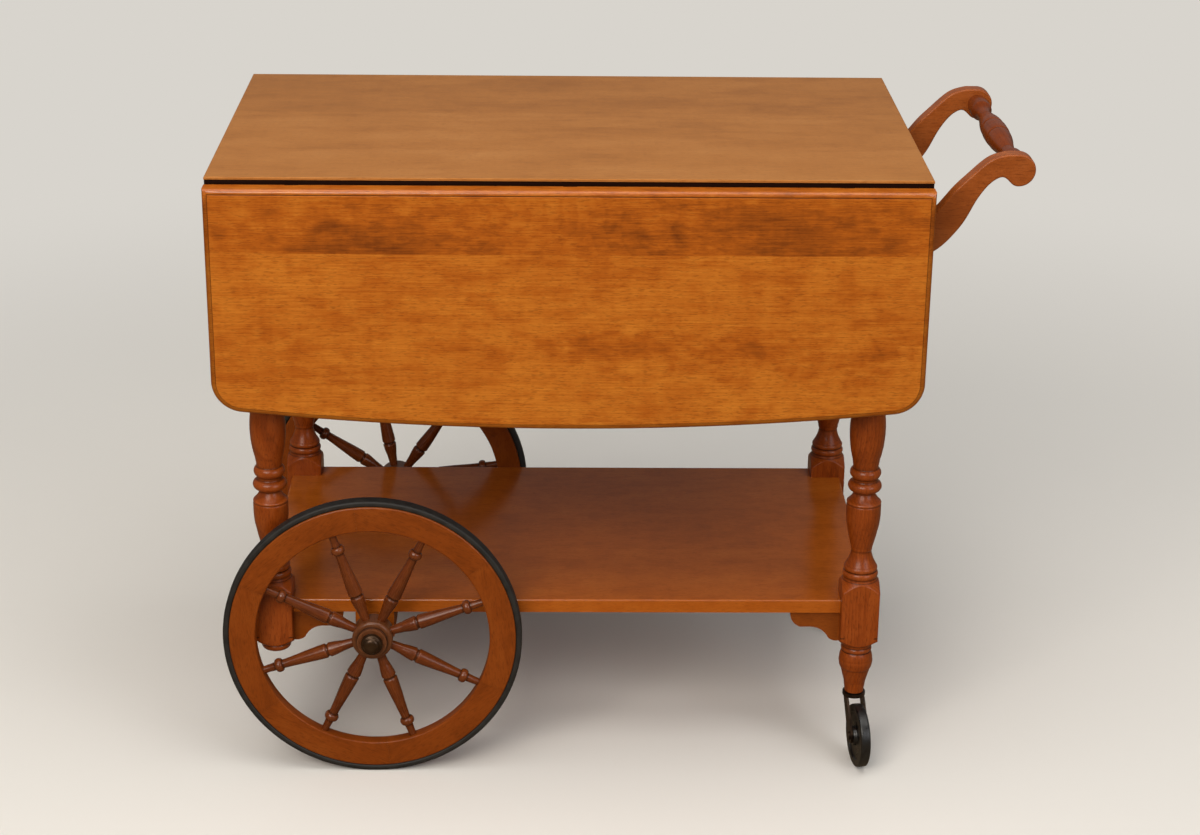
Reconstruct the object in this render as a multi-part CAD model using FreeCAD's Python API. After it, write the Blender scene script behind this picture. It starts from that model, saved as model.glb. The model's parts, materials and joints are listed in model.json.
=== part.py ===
import FreeCAD, Part
import math
import os

from FreeCAD import Vector

os.makedirs("parts", exist_ok=True)

# Drop leaf tea trolley, millimetres, +Z up, +X towards the handle, floor at zero.

# Top and leaves
top_length = 790.0
top_depth = 470.0
top_height = 724.0
board_thick = 22.0
lip_thick = 3.0             # thin lip along the long sides of the top
lip_overhang = 4.0          # how far the lip stands out over the set-back edge
lip_round = 1.2
leaf_wheel_gap = 95.0       # middle of a leaf's bowed side above the wheels
leaf_bow = 22.0
leaf_corner_radius = 36.0
leaf_gap = 0.8              # joint between the top and a raised leaf
thumbnail_width = 6.0
thumbnail_step = 1.2
thumbnail_round = 4.5

# Leaf hinges
hinge_inset = 7.0           # pin from the leaf's underside and from its joint edge
hinge_width = 46.0
hinge_tongue = 14.0
hinge_plate = 1.6
hinge_sink = 0.4            # plate below the wood's surface
hinge_flap = 34.0           # length of a plate beyond the joint
hinge_end_inset = 95.0      # outer hinges from the ends of the leaf
knuckle_radius = 3.6
hinge_pin_radius = 1.5
knuckle_side_gap = 0.3
plate_clear = 0.3
barrel_clear = 0.1
screw_radius = 1.8
screw_head_radius = 3.4
screw_length = 12.0
screw_inset = 9.0           # screw from the free end and sides of a hinge plate

# Leaf stays
stay_end_inset = 195.0      # stays from the ends of the leaf
stay_pivot_share = 4 / 11   # of the leaf's width, from the hinge pin to the stay's pivot
stay_pivot_drop = 9.0       # stay pivot from the leaf's underside
stay_extra = 19.7           # how much longer a stay is than its level run to the striker
stay_depth = 10.0
stay_thick = 5.0
stay_pin_radius = 2.0
stay_ear = 3.0
stay_ear_gap = 0.4
stay_base = 2.0
stay_base_length = 36.0
striker_thick = 2.0
striker_height = 52.0
striker_width = 30.0
stay_foot_gap = 0.3

# Frame under the top
leg_square = 44.4
leg_end_overhang = 30.3     # ends of the top past the legs
leg_side_overhang = 21.8    # long sides of the top past the legs
leg_top_block = 142.0       # height of the square at the top of a leg
apron_height = 108.0
apron_thick = 19.0
apron_setback = 3.0
corner_block_leg = 60.0
corner_block_height = 40.0
corner_screw_share = 0.33    # of the block's leg, from the leg of the trolley
fixing_screw_radius = 2.5
fixing_screw_length = 52.0
fixing_head_radius = 4.5
fixing_head = 3.0

# Turned legs
block_over_shelf = 25.5     # lower square above and below the shelf
block_under_shelf = 40.7
block_shoulder = 9.0        # length of the turned-away corners at the lower end of a block
block_top_shoulder = 14.0   # and at its upper end
block_end_share = 0.92      # of half the square, at the ends of a block
button_foot = 9.0           # wheel-end legs, under the lower square

# Shelf
shelf_over_axle = 16.2      # underside of the shelf above the axle
shelf_thick = 16.3
shelf_side_overhang = 10.5  # edges of the shelf past the legs' axes
shelf_end_overhang = 15.5
shelf_round = 2.5
leg_notch_gap = 0.2
bracket_length = 58.0
bracket_drop = 38.0
bracket_thick = 16.0
bracket_setback = 4.0

# Wheels
wheel_radius = 173.0
axle_inset = 117.0          # axle from the axes of the wheel-end legs
wheel_clear = 11.5          # rim from the legs
tyre_thick = 7.0
tyre_round = 2.5
rim_width = 30.6
rim_thick = 16.0
rim_round = 2.0
felloe_count = 6
felloe_start = 36.0         # degrees
spoke_count = 8
spoke_start = 19.0          # degrees
rear_wheel_turn = 9.0       # degrees that the rear wheel stands rolled past the front one
spoke_radius = 8.6
spoke_tenon = 8.0
hub_radius = 23.5
hub_length = 27.0
hub_collar_radius = 17.2
hub_collar = 5.0
hub_inner_collar = 5.0
bush_wall = 3.0
axle_radius = 6.0
running_gap = 0.05
end_gap = 0.3
nut_radius = 12.6
nut_flange = 3.0
nut_dome = 7.5
nut_dome_shares = ((0.55, 0.78, 0.11), (1.0, 0.2, 0.14))   # height, radius, bulge
axle_in_nut = 5.0
axle_collar_radius = 10.0
beam_width = 45.0
beam_drop = 34.0
axle_collar_length = 15.9
beam_screw_inset = 48.0     # screws from the ends of the beam
beam_screw_length = 40.0

# Casters
caster_radius = 37.5
caster_tread = 12.0
caster_boss_radius = 11.0
caster_boss = 16.0
caster_tread_round = 2.0
caster_web_sink = 2.0
caster_web_radius = 29.0
caster_trail = 30.0
caster_turn = 8.0           # degrees, how the caster stands
caster_pin_radius = 3.0
caster_pin_head_radius = 5.0
caster_pin_head = 2.0
crown_radius = 13.5
crown_thick = 4.0
crown_gap = 1.5
crown_wheel_gap = 2.5
cheek_thick = 2.5
cheek_gap = 0.5
cheek_round = 9.0
cheek_front_share = 0.75    # of the crown's radius, ahead of and behind the stem
cheek_back_share = 0.55
stem_radius = 4.5
stem_length = 30.0
socket_wall = 1.5
socket_flange = 1.2
socket_flange_radius = 10.0

# Handle
arm_leg_gap = 8.8           # arms from the legs
arm_thick = 20.0
arm_foot_lift = 8.0         # foot of an arm above the apron's lower edge
arm_foot = 40.0
lobe_radius = 18.3
arm_run = 139.0             # middle of the rolled end from the apron
arm_rise = 112.6            # and from the bottom of the foot
arm_round = 2.0
arm_screw_shares = (0.25, 0.75)
grip_radius = 14.0
grip_tenon_radius = 7.0
grip_tenon = 12.0

overrun = 20.0              # how far cutting shapes stand past what they cut
edge_tolerance = 0.01       # for picking edges by their place
quarter_round_share = 1 - math.sqrt(0.5)   # rise of a quarter circle over its chord

# Places worked out from the sizes above
top_under = top_height - board_thick
leg_half = leg_square / 2
leg_x = top_length / 2 - leg_end_overhang - leg_half
leg_y = top_depth / 2 - leg_side_overhang - leg_half
apron_face_x = leg_x + leg_half - apron_setback
apron_face_y = leg_y + leg_half - apron_setback
hinge_y = top_depth / 2 + leaf_gap + hinge_inset
hinge_z = top_under + hinge_inset
leaf_inner_y = hinge_y - hinge_inset
leaf_outer_y = leaf_inner_y + board_thick
leaf_top_z = hinge_z + hinge_inset
leaf_width = leaf_top_z - 2 * wheel_radius - leaf_wheel_gap
wheel_x = axle_inset - leg_x
wheel_y = leg_y + leg_half + wheel_clear + rim_thick / 2
rim_outer = wheel_radius - tyre_thick
rim_inner = rim_outer - rim_width
bush_radius = axle_radius + running_gap + bush_wall
shelf_under = wheel_radius + shelf_over_axle
shelf_top = shelf_under + shelf_thick
shelf_half_x = leg_x + shelf_end_overhang
shelf_half_y = leg_y + shelf_side_overhang
block_top = shelf_top + block_over_shelf
block_bottom = shelf_under - block_under_shelf
crown_low = 2 * caster_radius + crown_wheel_gap
crown_top = crown_low + crown_thick
foot_bottom = crown_top + crown_gap
apron_low = top_under - apron_height
leg_gap_x = leg_x - leg_half
leg_gap_y = leg_y - leg_half
arm_y = leg_gap_y - arm_leg_gap - arm_thick / 2
arm_foot_bottom = apron_low + arm_foot_lift
lobe_x = apron_face_x + arm_run
lobe_z = arm_foot_bottom + arm_rise
stay_pivot_y = hinge_y - hinge_inset - stay_pivot_drop
stay_pivot_out = leaf_width * stay_pivot_share
stay_pivot_z = hinge_z - stay_pivot_out
hub_face_y = wheel_y + hub_length / 2 + hub_collar
hub_back_y = wheel_y - hub_length / 2 - hub_inner_collar
beam_half_y = hub_back_y - end_gap - axle_collar_length
frame_middle_x = (lobe_x + lobe_radius + wheel_x - wheel_radius) / 2

# The stay's foot meets the striker plate when the leaf is level.
foot_run = hinge_y + stay_pivot_out - (apron_face_y + striker_thick + stay_depth / 2 + stay_foot_gap)
stay_reach = foot_run + stay_extra
stay_turn = 180.0 - math.degrees(math.acos(foot_run / stay_reach))
print("stay turns %.3f times as far as its leaf" % (stay_turn / 90.0))

along_x = Vector(1, 0, 0)
along_y = Vector(0, 1, 0)
along_z = Vector(0, 0, 1)
origin = Vector(0, 0, 0)


def box(x0, x1, y0, y1, z0, z1):
    return Part.makeBox(x1 - x0, y1 - y0, z1 - z0, Vector(x0, y0, z0))


def rod(radius, length, start, direction):
    return Part.makeCylinder(radius, length, start, direction)


def fuse(first, *others):
    return first.multiFuse(list(others)).removeSplitter()


def rear(shape):
    return shape.mirror(origin, along_y)


def group(solids):
    return Part.makeCompound(solids)


def moved(shape, x, y, z):
    copy = shape.copy()
    copy.translate(Vector(x, y, z))
    return copy


def edges_at(shape, axis, place):
    """Edges that lie wholly at one place along an axis."""
    found = []
    for edge in shape.Edges:
        bounds = edge.BoundBox
        low, high = getattr(bounds, axis + "Min"), getattr(bounds, axis + "Max")
        if abs(low - place) < edge_tolerance and abs(high - place) < edge_tolerance:
            found.append(edge)
    return found


def turned(stations):
    """Solid of revolution about Z through (height, radius, bulge) stations; a bulge is an arc's rise."""
    edges = []
    first, last = stations[0], stations[-1]
    edges.append(Part.makeLine(Vector(0, 0, first[0]), Vector(first[1], 0, first[0])))
    for below, above in zip(stations, stations[1:]):
        start = Vector(below[1], 0, below[0])
        end = Vector(above[1], 0, above[0])
        bulge = above[2]
        if bulge == 0:
            edges.append(Part.makeLine(start, end))
        else:
            chord = end - start
            outward = Vector(chord.z, 0, -chord.x)
            outward.normalize()
            middle = (start + end) / 2 + outward * bulge
            edges.append(Part.Arc(start, middle, end).toShape())
    edges.append(Part.makeLine(Vector(last[1], 0, last[0]), Vector(0, 0, last[0])))
    edges.append(Part.makeLine(Vector(0, 0, last[0]), Vector(0, 0, first[0])))
    return Part.Face(Part.Wire(edges)).revolve(origin, along_z, 360)


def scaled_stations(shares, bottom, length, radius):
    """Stations from shares of a turning's length and of its largest radius."""
    return [(bottom + h * length, r * radius, b * radius) for h, r, b in shares]


def screw(length, radius, head_radius, head, place, direction):
    """Countersunk-like screw: a flat head on a shank that runs along the direction."""
    flat = rod(head_radius, head, place, direction)
    shank = rod(radius, length, place, direction)
    return fuse(flat, shank)


# Top and leaves

def top_board():
    half_x = top_length / 2
    half_y = top_depth / 2
    inner_y = half_y - lip_overhang
    lip = box(-half_x, half_x, -half_y, half_y, top_height - lip_thick, top_height)
    body = box(-half_x, half_x, -inner_y, inner_y, top_under, top_height - lip_thick)
    board = fuse(lip, body)
    return board.makeFillet(lip_round, edges_at(board, "Z", top_height))


def leaf_face(inset, y):
    """Outline of a hanging leaf at one depth: square at the hinge side, bowed with round corners below."""
    half = top_length / 2 - inset
    high = leaf_top_z - inset
    low = leaf_top_z - leaf_width + inset
    bow_radius = (top_length / 2) ** 2 / (2 * leaf_bow) - inset
    centre_z = low + bow_radius
    corner = leaf_corner_radius - inset
    corner_x = half - corner
    inner = bow_radius - corner
    corner_z = centre_z - math.sqrt(inner ** 2 - corner_x ** 2)
    foot_x = corner_x * bow_radius / inner
    foot_z = centre_z - (centre_z - corner_z) * bow_radius / inner
    turn = math.atan2(centre_z - corner_z, corner_x)
    mid_x = corner_x + corner * math.cos(turn / 2)
    mid_z = corner_z - corner * math.sin(turn / 2)
    edges = [
        Part.makeLine(Vector(-half, y, high), Vector(half, y, high)),
        Part.makeLine(Vector(half, y, high), Vector(half, y, corner_z)),
        Part.Arc(Vector(half, y, corner_z), Vector(mid_x, y, mid_z), Vector(foot_x, y, foot_z)).toShape(),
        Part.Arc(Vector(foot_x, y, foot_z), Vector(0, y, low), Vector(-foot_x, y, foot_z)).toShape(),
        Part.Arc(Vector(-foot_x, y, foot_z), Vector(-mid_x, y, mid_z), Vector(-half, y, corner_z)).toShape(),
        Part.makeLine(Vector(-half, y, corner_z), Vector(-half, y, high)),
    ]
    return Part.Face(Part.Wire(edges))


def leaf_board():
    step_y = leaf_outer_y - thumbnail_step
    back = leaf_face(0, leaf_inner_y).extrude(Vector(0, step_y - leaf_inner_y, 0))
    back = back.makeFillet(thumbnail_round, edges_at(back, "Y", step_y))
    field = leaf_face(thumbnail_width, step_y).extrude(Vector(0, thumbnail_step, 0))
    return fuse(back, field)


outer_hinge_x = top_length / 2 - hinge_end_inset
hinge_places = (-outer_hinge_x, 0.0, outer_hinge_x)
tongue_half = hinge_tongue / 2
knuckle_out = tongue_half + knuckle_side_gap
plate_low = top_under + hinge_sink
plate_high = plate_low + hinge_plate


def hinge_top_plate(x):
    """Plate let into the underside of the top, with the middle knuckle."""
    half = hinge_width / 2
    joint_y = top_depth / 2 - lip_overhang
    flap = box(x - half, x + half, joint_y - hinge_flap, joint_y, plate_low, plate_high)
    tongue = box(x - tongue_half, x + tongue_half, joint_y, hinge_y + hinge_plate / 2, plate_low, plate_high)
    riser_y = hinge_y - hinge_plate / 2
    riser = box(x - tongue_half, x + tongue_half, riser_y, riser_y + hinge_plate, plate_low, hinge_z)
    knuckle = rod(knuckle_radius, hinge_tongue, Vector(x - tongue_half, hinge_y, hinge_z), along_x)
    return fuse(flap, tongue, riser, knuckle)


def hinge_leaf_plate(x):
    """Plate let into the inner face of a hanging leaf, with the two outer knuckles."""
    half = hinge_width / 2
    face_y = leaf_inner_y + hinge_sink
    back_y = face_y + hinge_plate
    flap_z = hinge_z - hinge_inset - hinge_plate
    plate = box(x - half, x + half, face_y, back_y, flap_z - hinge_flap, flap_z)
    bore = rod(hinge_pin_radius + running_gap, hinge_width, Vector(x - half, hinge_y, hinge_z), along_x)
    riser_z = hinge_z + hinge_plate / 2
    for x0, x1 in ((x - half, x - knuckle_out), (x + knuckle_out, x + half)):
        strap = box(x0, x1, face_y, back_y, flap_z, riser_z)
        web = box(x0, x1, face_y, hinge_y, riser_z - hinge_plate, riser_z)
        knuckle = rod(knuckle_radius, x1 - x0, Vector(x0, hinge_y, hinge_z), along_x)
        plate = fuse(plate, strap, web, knuckle)
    return plate.cut(bore)


def hinge_pin(x):
    return rod(hinge_pin_radius, hinge_width, Vector(x - hinge_width / 2, hinge_y, hinge_z), along_x)


def hinge_notch(x):
    """Room in the leaf's joint corner for the knuckles and the tongue of the top plate."""
    half = hinge_width / 2 + leaf_gap
    reach = hinge_inset - barrel_clear
    barrel = rod(reach, 2 * half, Vector(x - half, hinge_y, hinge_z), along_x)
    slot_y = leaf_inner_y + hinge_sink + hinge_plate + plate_clear
    wide = tongue_half + leaf_gap
    start_y = leaf_inner_y - overrun
    low = hinge_z - hinge_inset
    slot = box(x - wide, x + wide, start_y, slot_y, low, leaf_top_z + overrun)
    room = box(x - wide, x + wide, start_y, hinge_y + hinge_plate / 2 + plate_clear, low, hinge_z)
    return fuse(barrel, slot, room)


def hinge_screw(place, direction):
    return screw(screw_length, screw_radius, screw_head_radius, hinge_plate, place, direction)


def hinge_screws_top(x):
    side = hinge_width / 2 - screw_inset
    y = top_depth / 2 - lip_overhang - hinge_flap + screw_inset
    return [hinge_screw(Vector(x + s, y, plate_low), along_z) for s in (-side, side)]


def hinge_screws_leaf(x):
    side = hinge_width / 2 - screw_inset
    z = hinge_z - hinge_inset - hinge_plate - hinge_flap + screw_inset
    y = leaf_inner_y + hinge_sink
    return [hinge_screw(Vector(x + s, y, z), along_y) for s in (-side, side)]


# Leaf stays

stay_x = top_length / 2 - stay_end_inset
stay_places = (-stay_x, stay_x)
stay_half = stay_thick / 2
ear_in = stay_half + stay_ear_gap
ear_out = ear_in + stay_ear


def leaf_stay(x):
    """Flat bar with round ends, hanging from its pivot along the leaf."""
    start = Vector(x - stay_half, stay_pivot_y, stay_pivot_z)
    low = stay_pivot_z - stay_reach
    half = stay_depth / 2
    bar = box(x - stay_half, x + stay_half, stay_pivot_y - half, stay_pivot_y + half, low, stay_pivot_z)
    head = rod(half, stay_thick, start, along_x)
    foot = rod(half, stay_thick, Vector(x - stay_half, stay_pivot_y, low), along_x)
    bore = rod(stay_pin_radius + running_gap, stay_thick, start, along_x)
    return fuse(bar, head, foot).cut(bore)


def stay_bracket(x):
    """Base plate on the leaf with two ears that hold the stay's pivot."""
    half = stay_depth / 2
    base_y = leaf_inner_y - stay_base
    length = stay_base_length / 2
    base = box(x - ear_out, x + ear_out, base_y, leaf_inner_y, stay_pivot_z - half, stay_pivot_z + length)
    bore = rod(stay_pin_radius, 2 * ear_out, Vector(x - ear_out, stay_pivot_y, stay_pivot_z), along_x)
    for x0 in (x - ear_out, x + ear_in):
        ear = box(x0, x0 + stay_ear, stay_pivot_y, base_y, stay_pivot_z - half, stay_pivot_z + half)
        end = rod(half, stay_ear, Vector(x0, stay_pivot_y, stay_pivot_z), along_x)
        base = fuse(base, ear, end)
    return base.cut(bore)


def stay_pin(x):
    return rod(stay_pin_radius, 2 * ear_out, Vector(x - ear_out, stay_pivot_y, stay_pivot_z), along_x)


def striker_plate(x):
    foot_z = hinge_z - hinge_inset - stay_pivot_drop - stay_reach * math.sin(math.radians(stay_turn))
    low = foot_z - striker_height / 2
    side = striker_width / 2
    return box(x - side, x + side, apron_face_y, apron_face_y + striker_thick, low, low + striker_height)


# Aprons and corner blocks

def long_apron():
    return box(-leg_gap_x, leg_gap_x, apron_face_y - apron_thick, apron_face_y, apron_low, top_under)


def end_apron(side):
    faces = sorted((side * (apron_face_x - apron_thick), side * apron_face_x))
    return box(faces[0], faces[1], -leg_gap_y, leg_gap_y, apron_low, top_under)


def corner_block(side_x, side_y):
    """Three-cornered block in a corner of the aprons, cut clear of the leg, under the top."""
    x = apron_face_x - apron_thick
    y = apron_face_y - apron_thick
    far_x = leg_gap_x - corner_block_leg
    far_y = leg_gap_y - corner_block_leg
    low = top_under - corner_block_height
    points = [Vector(x, far_y, low), Vector(far_x, y, low), Vector(leg_gap_x, y, low),
              Vector(leg_gap_x, leg_gap_y, low), Vector(x, leg_gap_y, low)]
    solid = Part.Face(Part.makePolygon(points + points[:1])).extrude(Vector(0, 0, corner_block_height))
    if side_x < 0:
        solid = solid.mirror(origin, along_x)
    if side_y < 0:
        solid = solid.mirror(origin, along_y)
    return solid


def corner_screw(side_x, side_y):
    x = side_x * (leg_gap_x - corner_block_leg * corner_screw_share)
    y = side_y * (leg_gap_y - corner_block_leg * corner_screw_share)
    low = top_under - corner_block_height
    return screw(fixing_screw_length, fixing_screw_radius, fixing_head_radius, fixing_head,
                 Vector(x, y, low), along_z)


corners = [(sx, sy) for sx in (-1, 1) for sy in (-1, 1)]

# Legs: (height, radius, bulge) as shares of the turning's length and of half the square
upper_turning_shares = [
    (0.0, 0.92, 0.0), (0.009, 0.88, 0.0), (0.031, 0.87, 0.06), (0.033, 0.82, 0.0), (0.053, 0.81, 0.07),
    (0.056, 0.80, 0.0), (0.106, 0.53, -0.04), (0.110, 0.53, 0.0), (0.113, 0.56, 0.0), (0.125, 0.58, 0.0),
    (0.184, 0.776, 0.01), (0.253, 0.905, 0.03), (0.285, 0.905, 0.0), (0.289, 0.87, 0.0), (0.293, 0.90, 0.0),
    (0.298, 0.88, 0.01), (0.330, 0.55, -0.04), (0.337, 0.55, 0.0), (0.338, 0.70, 0.0), (0.374, 0.70, 0.18),
    (0.378, 0.66, 0.0), (0.387, 0.66, 0.0), (0.388, 0.68, 0.0), (0.424, 0.66, 0.14), (0.432, 0.66, 0.0),
    (0.458, 0.72, 0.0), (0.537, 0.908, 0.03), (0.616, 0.88, 0.03), (0.760, 0.70, 0.02), (0.900, 0.55, -0.02),
    (0.930, 0.60, -0.02), (0.930, 0.78, 0.0), (0.965, 0.78, 0.10), (0.972, 0.86, 0.0), (1.0, 0.86, 0.0),
]
bulb_foot_shares = [
    (0.0, 0.50, 0.0), (0.20, 0.575, 0.0), (0.48, 0.79, 0.0), (0.49, 0.82, 0.0), (0.57, 0.88, 0.01),
    (0.67, 0.88, 0.02), (0.81, 0.79, 0.025), (0.825, 0.74, 0.0), (0.83, 0.76, 0.0), (0.92, 0.76, 0.06),
    (0.93, 0.78, 0.0), (1.0, 0.84, 0.0),
]
button_foot_shares = [(0.0, 0.66, 0.0), (0.75, 0.74, 0.07), (1.0, 0.68, 0.0)]


def square_block(bottom, top):
    """Square of the leg with its corners turned away at both ends."""
    block = box(-leg_half, leg_half, -leg_half, leg_half, bottom, top)
    corner = leg_half * math.sqrt(2)
    limit = turned([
        (bottom, leg_half * block_end_share, 0), (bottom + block_shoulder, corner, 0),
        (top - block_top_shoulder, corner, 0), (top, leg_half * block_end_share, 0),
    ])
    return block.common(limit)


def leg(side_x, side_y):
    top_block_low = top_under - leg_top_block
    head = square_block(top_block_low, top_under + block_top_shoulder)
    head = head.common(box(-leg_square, leg_square, -leg_square, leg_square, top_block_low, top_under))
    upper = turned(scaled_stations(upper_turning_shares, block_top, top_block_low - block_top, leg_half))
    lower = square_block(block_bottom, block_top)
    if side_x > 0:
        foot = turned(scaled_stations(bulb_foot_shares, foot_bottom, block_bottom - foot_bottom, leg_half))
        socket_radius = stem_radius + running_gap + socket_wall
        bore = rod(socket_radius, stem_length + end_gap, Vector(0, 0, foot_bottom), along_z)
        solid = fuse(head, upper, lower, foot).cut(bore)
    else:
        foot = turned(scaled_stations(button_foot_shares, block_bottom - button_foot, button_foot, leg_half))
        solid = fuse(head, upper, lower, foot)
    return moved(solid, side_x * leg_x, side_y * leg_y, 0)


# Shelf, brackets and axle

def lower_shelf():
    board = box(-shelf_half_x, shelf_half_x, -shelf_half_y, shelf_half_y, shelf_under, shelf_top)
    board = board.makeFillet(shelf_round, edges_at(board, "Z", shelf_top))
    reach = leg_half + leg_notch_gap
    for side_x, side_y in corners:
        x, y = side_x * leg_x, side_y * leg_y
        notch = box(x - reach, x + reach, y - reach, y + reach, shelf_under - overrun, shelf_top + overrun)
        board = board.cut(notch)
    return board


bracket_shares = [  # (run from the leg, drop below the shelf), scrolled from the tip to the leg
    ((1.0, 0.0), (1.0, 0.16)), ((1.0, 0.16), (0.90, 0.44), (0.80, 0.53)), ((0.80, 0.53), (0.58, 0.53)),
    ((0.58, 0.53), (0.34, 0.66), (0.22, 0.90)), ((0.22, 0.90), (0.14, 0.98), (0.0, 1.0)),
]


def scroll_bracket(side):
    """Scroll-cut bracket under the front edge of the shelf, beside one leg."""
    start_x = leg_gap_x
    y = bracket_setback - shelf_half_y
    edges = []
    for points in bracket_shares:
        places = [Vector(start_x - a * bracket_length, y, shelf_under - d * bracket_drop) for a, d in points]
        if len(places) == 2:
            edges.append(Part.makeLine(*places))
        else:
            edges.append(Part.Arc(*places).toShape())
    corner = Vector(start_x, y, shelf_under)
    edges.append(Part.makeLine(Vector(start_x, y, shelf_under - bracket_drop), corner))
    edges.append(Part.makeLine(corner, Vector(start_x - bracket_length, y, shelf_under)))
    solid = Part.Face(Part.Wire(Part.sortEdges(edges)[0])).extrude(Vector(0, bracket_thick, 0))
    if side < 0:
        solid = solid.mirror(origin, along_x)
    return solid


def axle_beam():
    half = beam_width / 2
    low = shelf_under - beam_drop
    beam = box(wheel_x - half, wheel_x + half, -beam_half_y, beam_half_y, low, shelf_under)
    bore = rod(axle_radius, 2 * beam_half_y, Vector(wheel_x, -beam_half_y, wheel_radius), along_y)
    return beam.cut(bore)


def beam_screw(y, x):
    place = Vector(x, y, shelf_under - beam_drop)
    return screw(beam_screw_length, fixing_screw_radius, fixing_head_radius, fixing_head, place, along_z)


axle_end_y = hub_face_y + end_gap + axle_in_nut


def axle_rod():
    return rod(axle_radius, 2 * axle_end_y, Vector(wheel_x, -axle_end_y, wheel_radius), along_y)


def axle_collar():
    start = Vector(wheel_x, -hub_back_y + end_gap, wheel_radius)
    ring = rod(axle_collar_radius, axle_collar_length, start, along_y)
    return ring.cut(rod(axle_radius, axle_collar_length, start, along_y))


def axle_nut():
    """Domed nut on the end of the axle, turned about Z and laid along -Y."""
    flange = [(0, nut_radius, 0), (nut_flange, nut_radius, 0)]
    crown = [(nut_flange + h * nut_dome, r * nut_radius, b * nut_radius) for h, r, b in nut_dome_shares]
    dome = turned(flange + crown)
    dome = dome.cut(rod(axle_radius, axle_in_nut, origin, along_z))
    dome.rotate(origin, along_x, 90)
    return moved(dome, wheel_x, -hub_face_y - end_gap, wheel_radius)


# Wheels, built about Z and laid along -Y

def rounded_ring(inner, outer, thick, radius, sweep):
    """Ring of rectangular section with four rounded edges, swept through part of a turn about Z."""
    half = thick / 2
    section = Part.Face(Part.makePolygon([
        Vector(inner, 0, -half), Vector(outer, 0, -half), Vector(outer, 0, half),
        Vector(inner, 0, half), Vector(inner, 0, -half)]))
    solid = section.revolve(origin, along_z, sweep)
    long_edges = [e for e in solid.Edges if isinstance(e.Curve, Part.Circle)]
    return solid.makeFillet(radius, long_edges)


spoke_shares = [  # (run from hub to rim, radius, bulge)
    (0.0, 0.58, 0.0), (0.12, 0.72, 0.0), (0.22, 0.94, 0.01), (0.265, 0.99, 0.0), (0.275, 0.84, 0.0),
    (0.295, 0.84, 0.0), (0.305, 1.0, 0.0), (0.36, 0.97, 0.0), (0.58, 0.77, 0.01), (0.70, 0.65, 0.0),
    (0.785, 0.60, 0.0), (0.79, 0.80, 0.0), (0.86, 0.80, 0.17), (0.865, 0.58, 0.0), (0.93, 0.52, 0.0),
    (1.0, 0.50, 0.0),
]


def wheel_spokes():
    run = rim_inner - hub_radius
    stations = scaled_stations(spoke_shares, hub_radius, run, spoke_radius)
    low_radius, high_radius = stations[0][1], stations[-1][1]
    body = turned(stations)
    inner = rod(low_radius, spoke_tenon, Vector(0, 0, hub_radius - spoke_tenon), along_z)
    outer = rod(high_radius, spoke_tenon, Vector(0, 0, rim_inner), along_z)
    spoke = fuse(body, inner, outer)
    spoke.rotate(origin, along_y, 90)
    spokes = []
    for index in range(spoke_count):
        copy = spoke.copy()
        copy.rotate(origin, along_z, spoke_start + index * 360.0 / spoke_count)
        spokes.append(copy)
    return group(spokes)


def wheel_felloes():
    step = 360.0 / felloe_count
    piece = rounded_ring(rim_inner, rim_outer, rim_thick, rim_round, step)
    felloes = []
    for index in range(felloe_count):
        copy = piece.copy()
        copy.rotate(origin, along_z, felloe_start + index * step)
        felloes.append(copy)
    return felloes


def wheel_hub():
    half = hub_length / 2
    barrel = turned([
        (-half - hub_inner_collar, hub_collar_radius, 0), (-half, hub_collar_radius, 0),
        (-half, hub_radius - rim_round, 0), (-half + rim_round, hub_radius, rim_round * quarter_round_share),
        (half - rim_round, hub_radius, 0), (half, hub_radius - rim_round, rim_round * quarter_round_share),
        (half, hub_collar_radius, 0), (half + hub_collar, hub_collar_radius, 0),
    ])
    length = hub_length + hub_inner_collar + hub_collar
    return barrel.cut(rod(bush_radius, length, Vector(0, 0, -half - hub_inner_collar), along_z))


def wheel_bush():
    length = hub_length + hub_inner_collar + hub_collar
    start = Vector(0, 0, -hub_length / 2 - hub_inner_collar)
    return rod(bush_radius, length, start, along_z).cut(rod(axle_radius + running_gap, length, start, along_z))


def lay_wheel(shape):
    copy = shape.copy()
    copy.rotate(origin, along_x, 90)
    return moved(copy, wheel_x, -wheel_y, wheel_radius)


def wheel_pieces():
    spokes = wheel_spokes()
    felloes = group([piece.cut(spokes) for piece in wheel_felloes()])
    hub = wheel_hub().cut(spokes)
    tyre = rounded_ring(rim_outer, wheel_radius, rim_thick, tyre_round, 360)
    pieces = {"wheel_felloes": felloes, "wheel_tyre": tyre, "wheel_spokes": spokes, "wheel_hub": hub,
              "wheel_bush": wheel_bush()}
    return {name: lay_wheel(shape) for name, shape in pieces.items()}


# Casters, built with the stem on Z and trailing along -Y

cheek_in = caster_boss / 2 + cheek_gap


def caster_cheek():
    """Side plate of the fork, from the crown back and down to the wheel's axle."""
    axle = Vector(0, -caster_trail, caster_radius)
    front = Vector(0, -crown_radius * cheek_front_share, crown_low)
    back = Vector(0, crown_radius * cheek_back_share, crown_low)
    lean = math.atan2(axle.z - crown_low, axle.y)
    side = Vector(0, -math.sin(lean), math.cos(lean)) * cheek_round
    low = axle + side
    high = axle - side
    tip = axle + Vector(0, math.cos(lean), math.sin(lean)) * cheek_round
    first, second = (low, high) if low.y < high.y else (high, low)
    edges = [
        Part.makeLine(front, first), Part.Arc(first, tip, second).toShape(),
        Part.makeLine(second, back), Part.makeLine(back, front),
    ]
    plate = Part.Face(Part.Wire(edges)).extrude(Vector(cheek_thick, 0, 0))
    bore = rod(caster_pin_radius, cheek_thick, axle, along_x)
    return plate.cut(bore)


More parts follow.
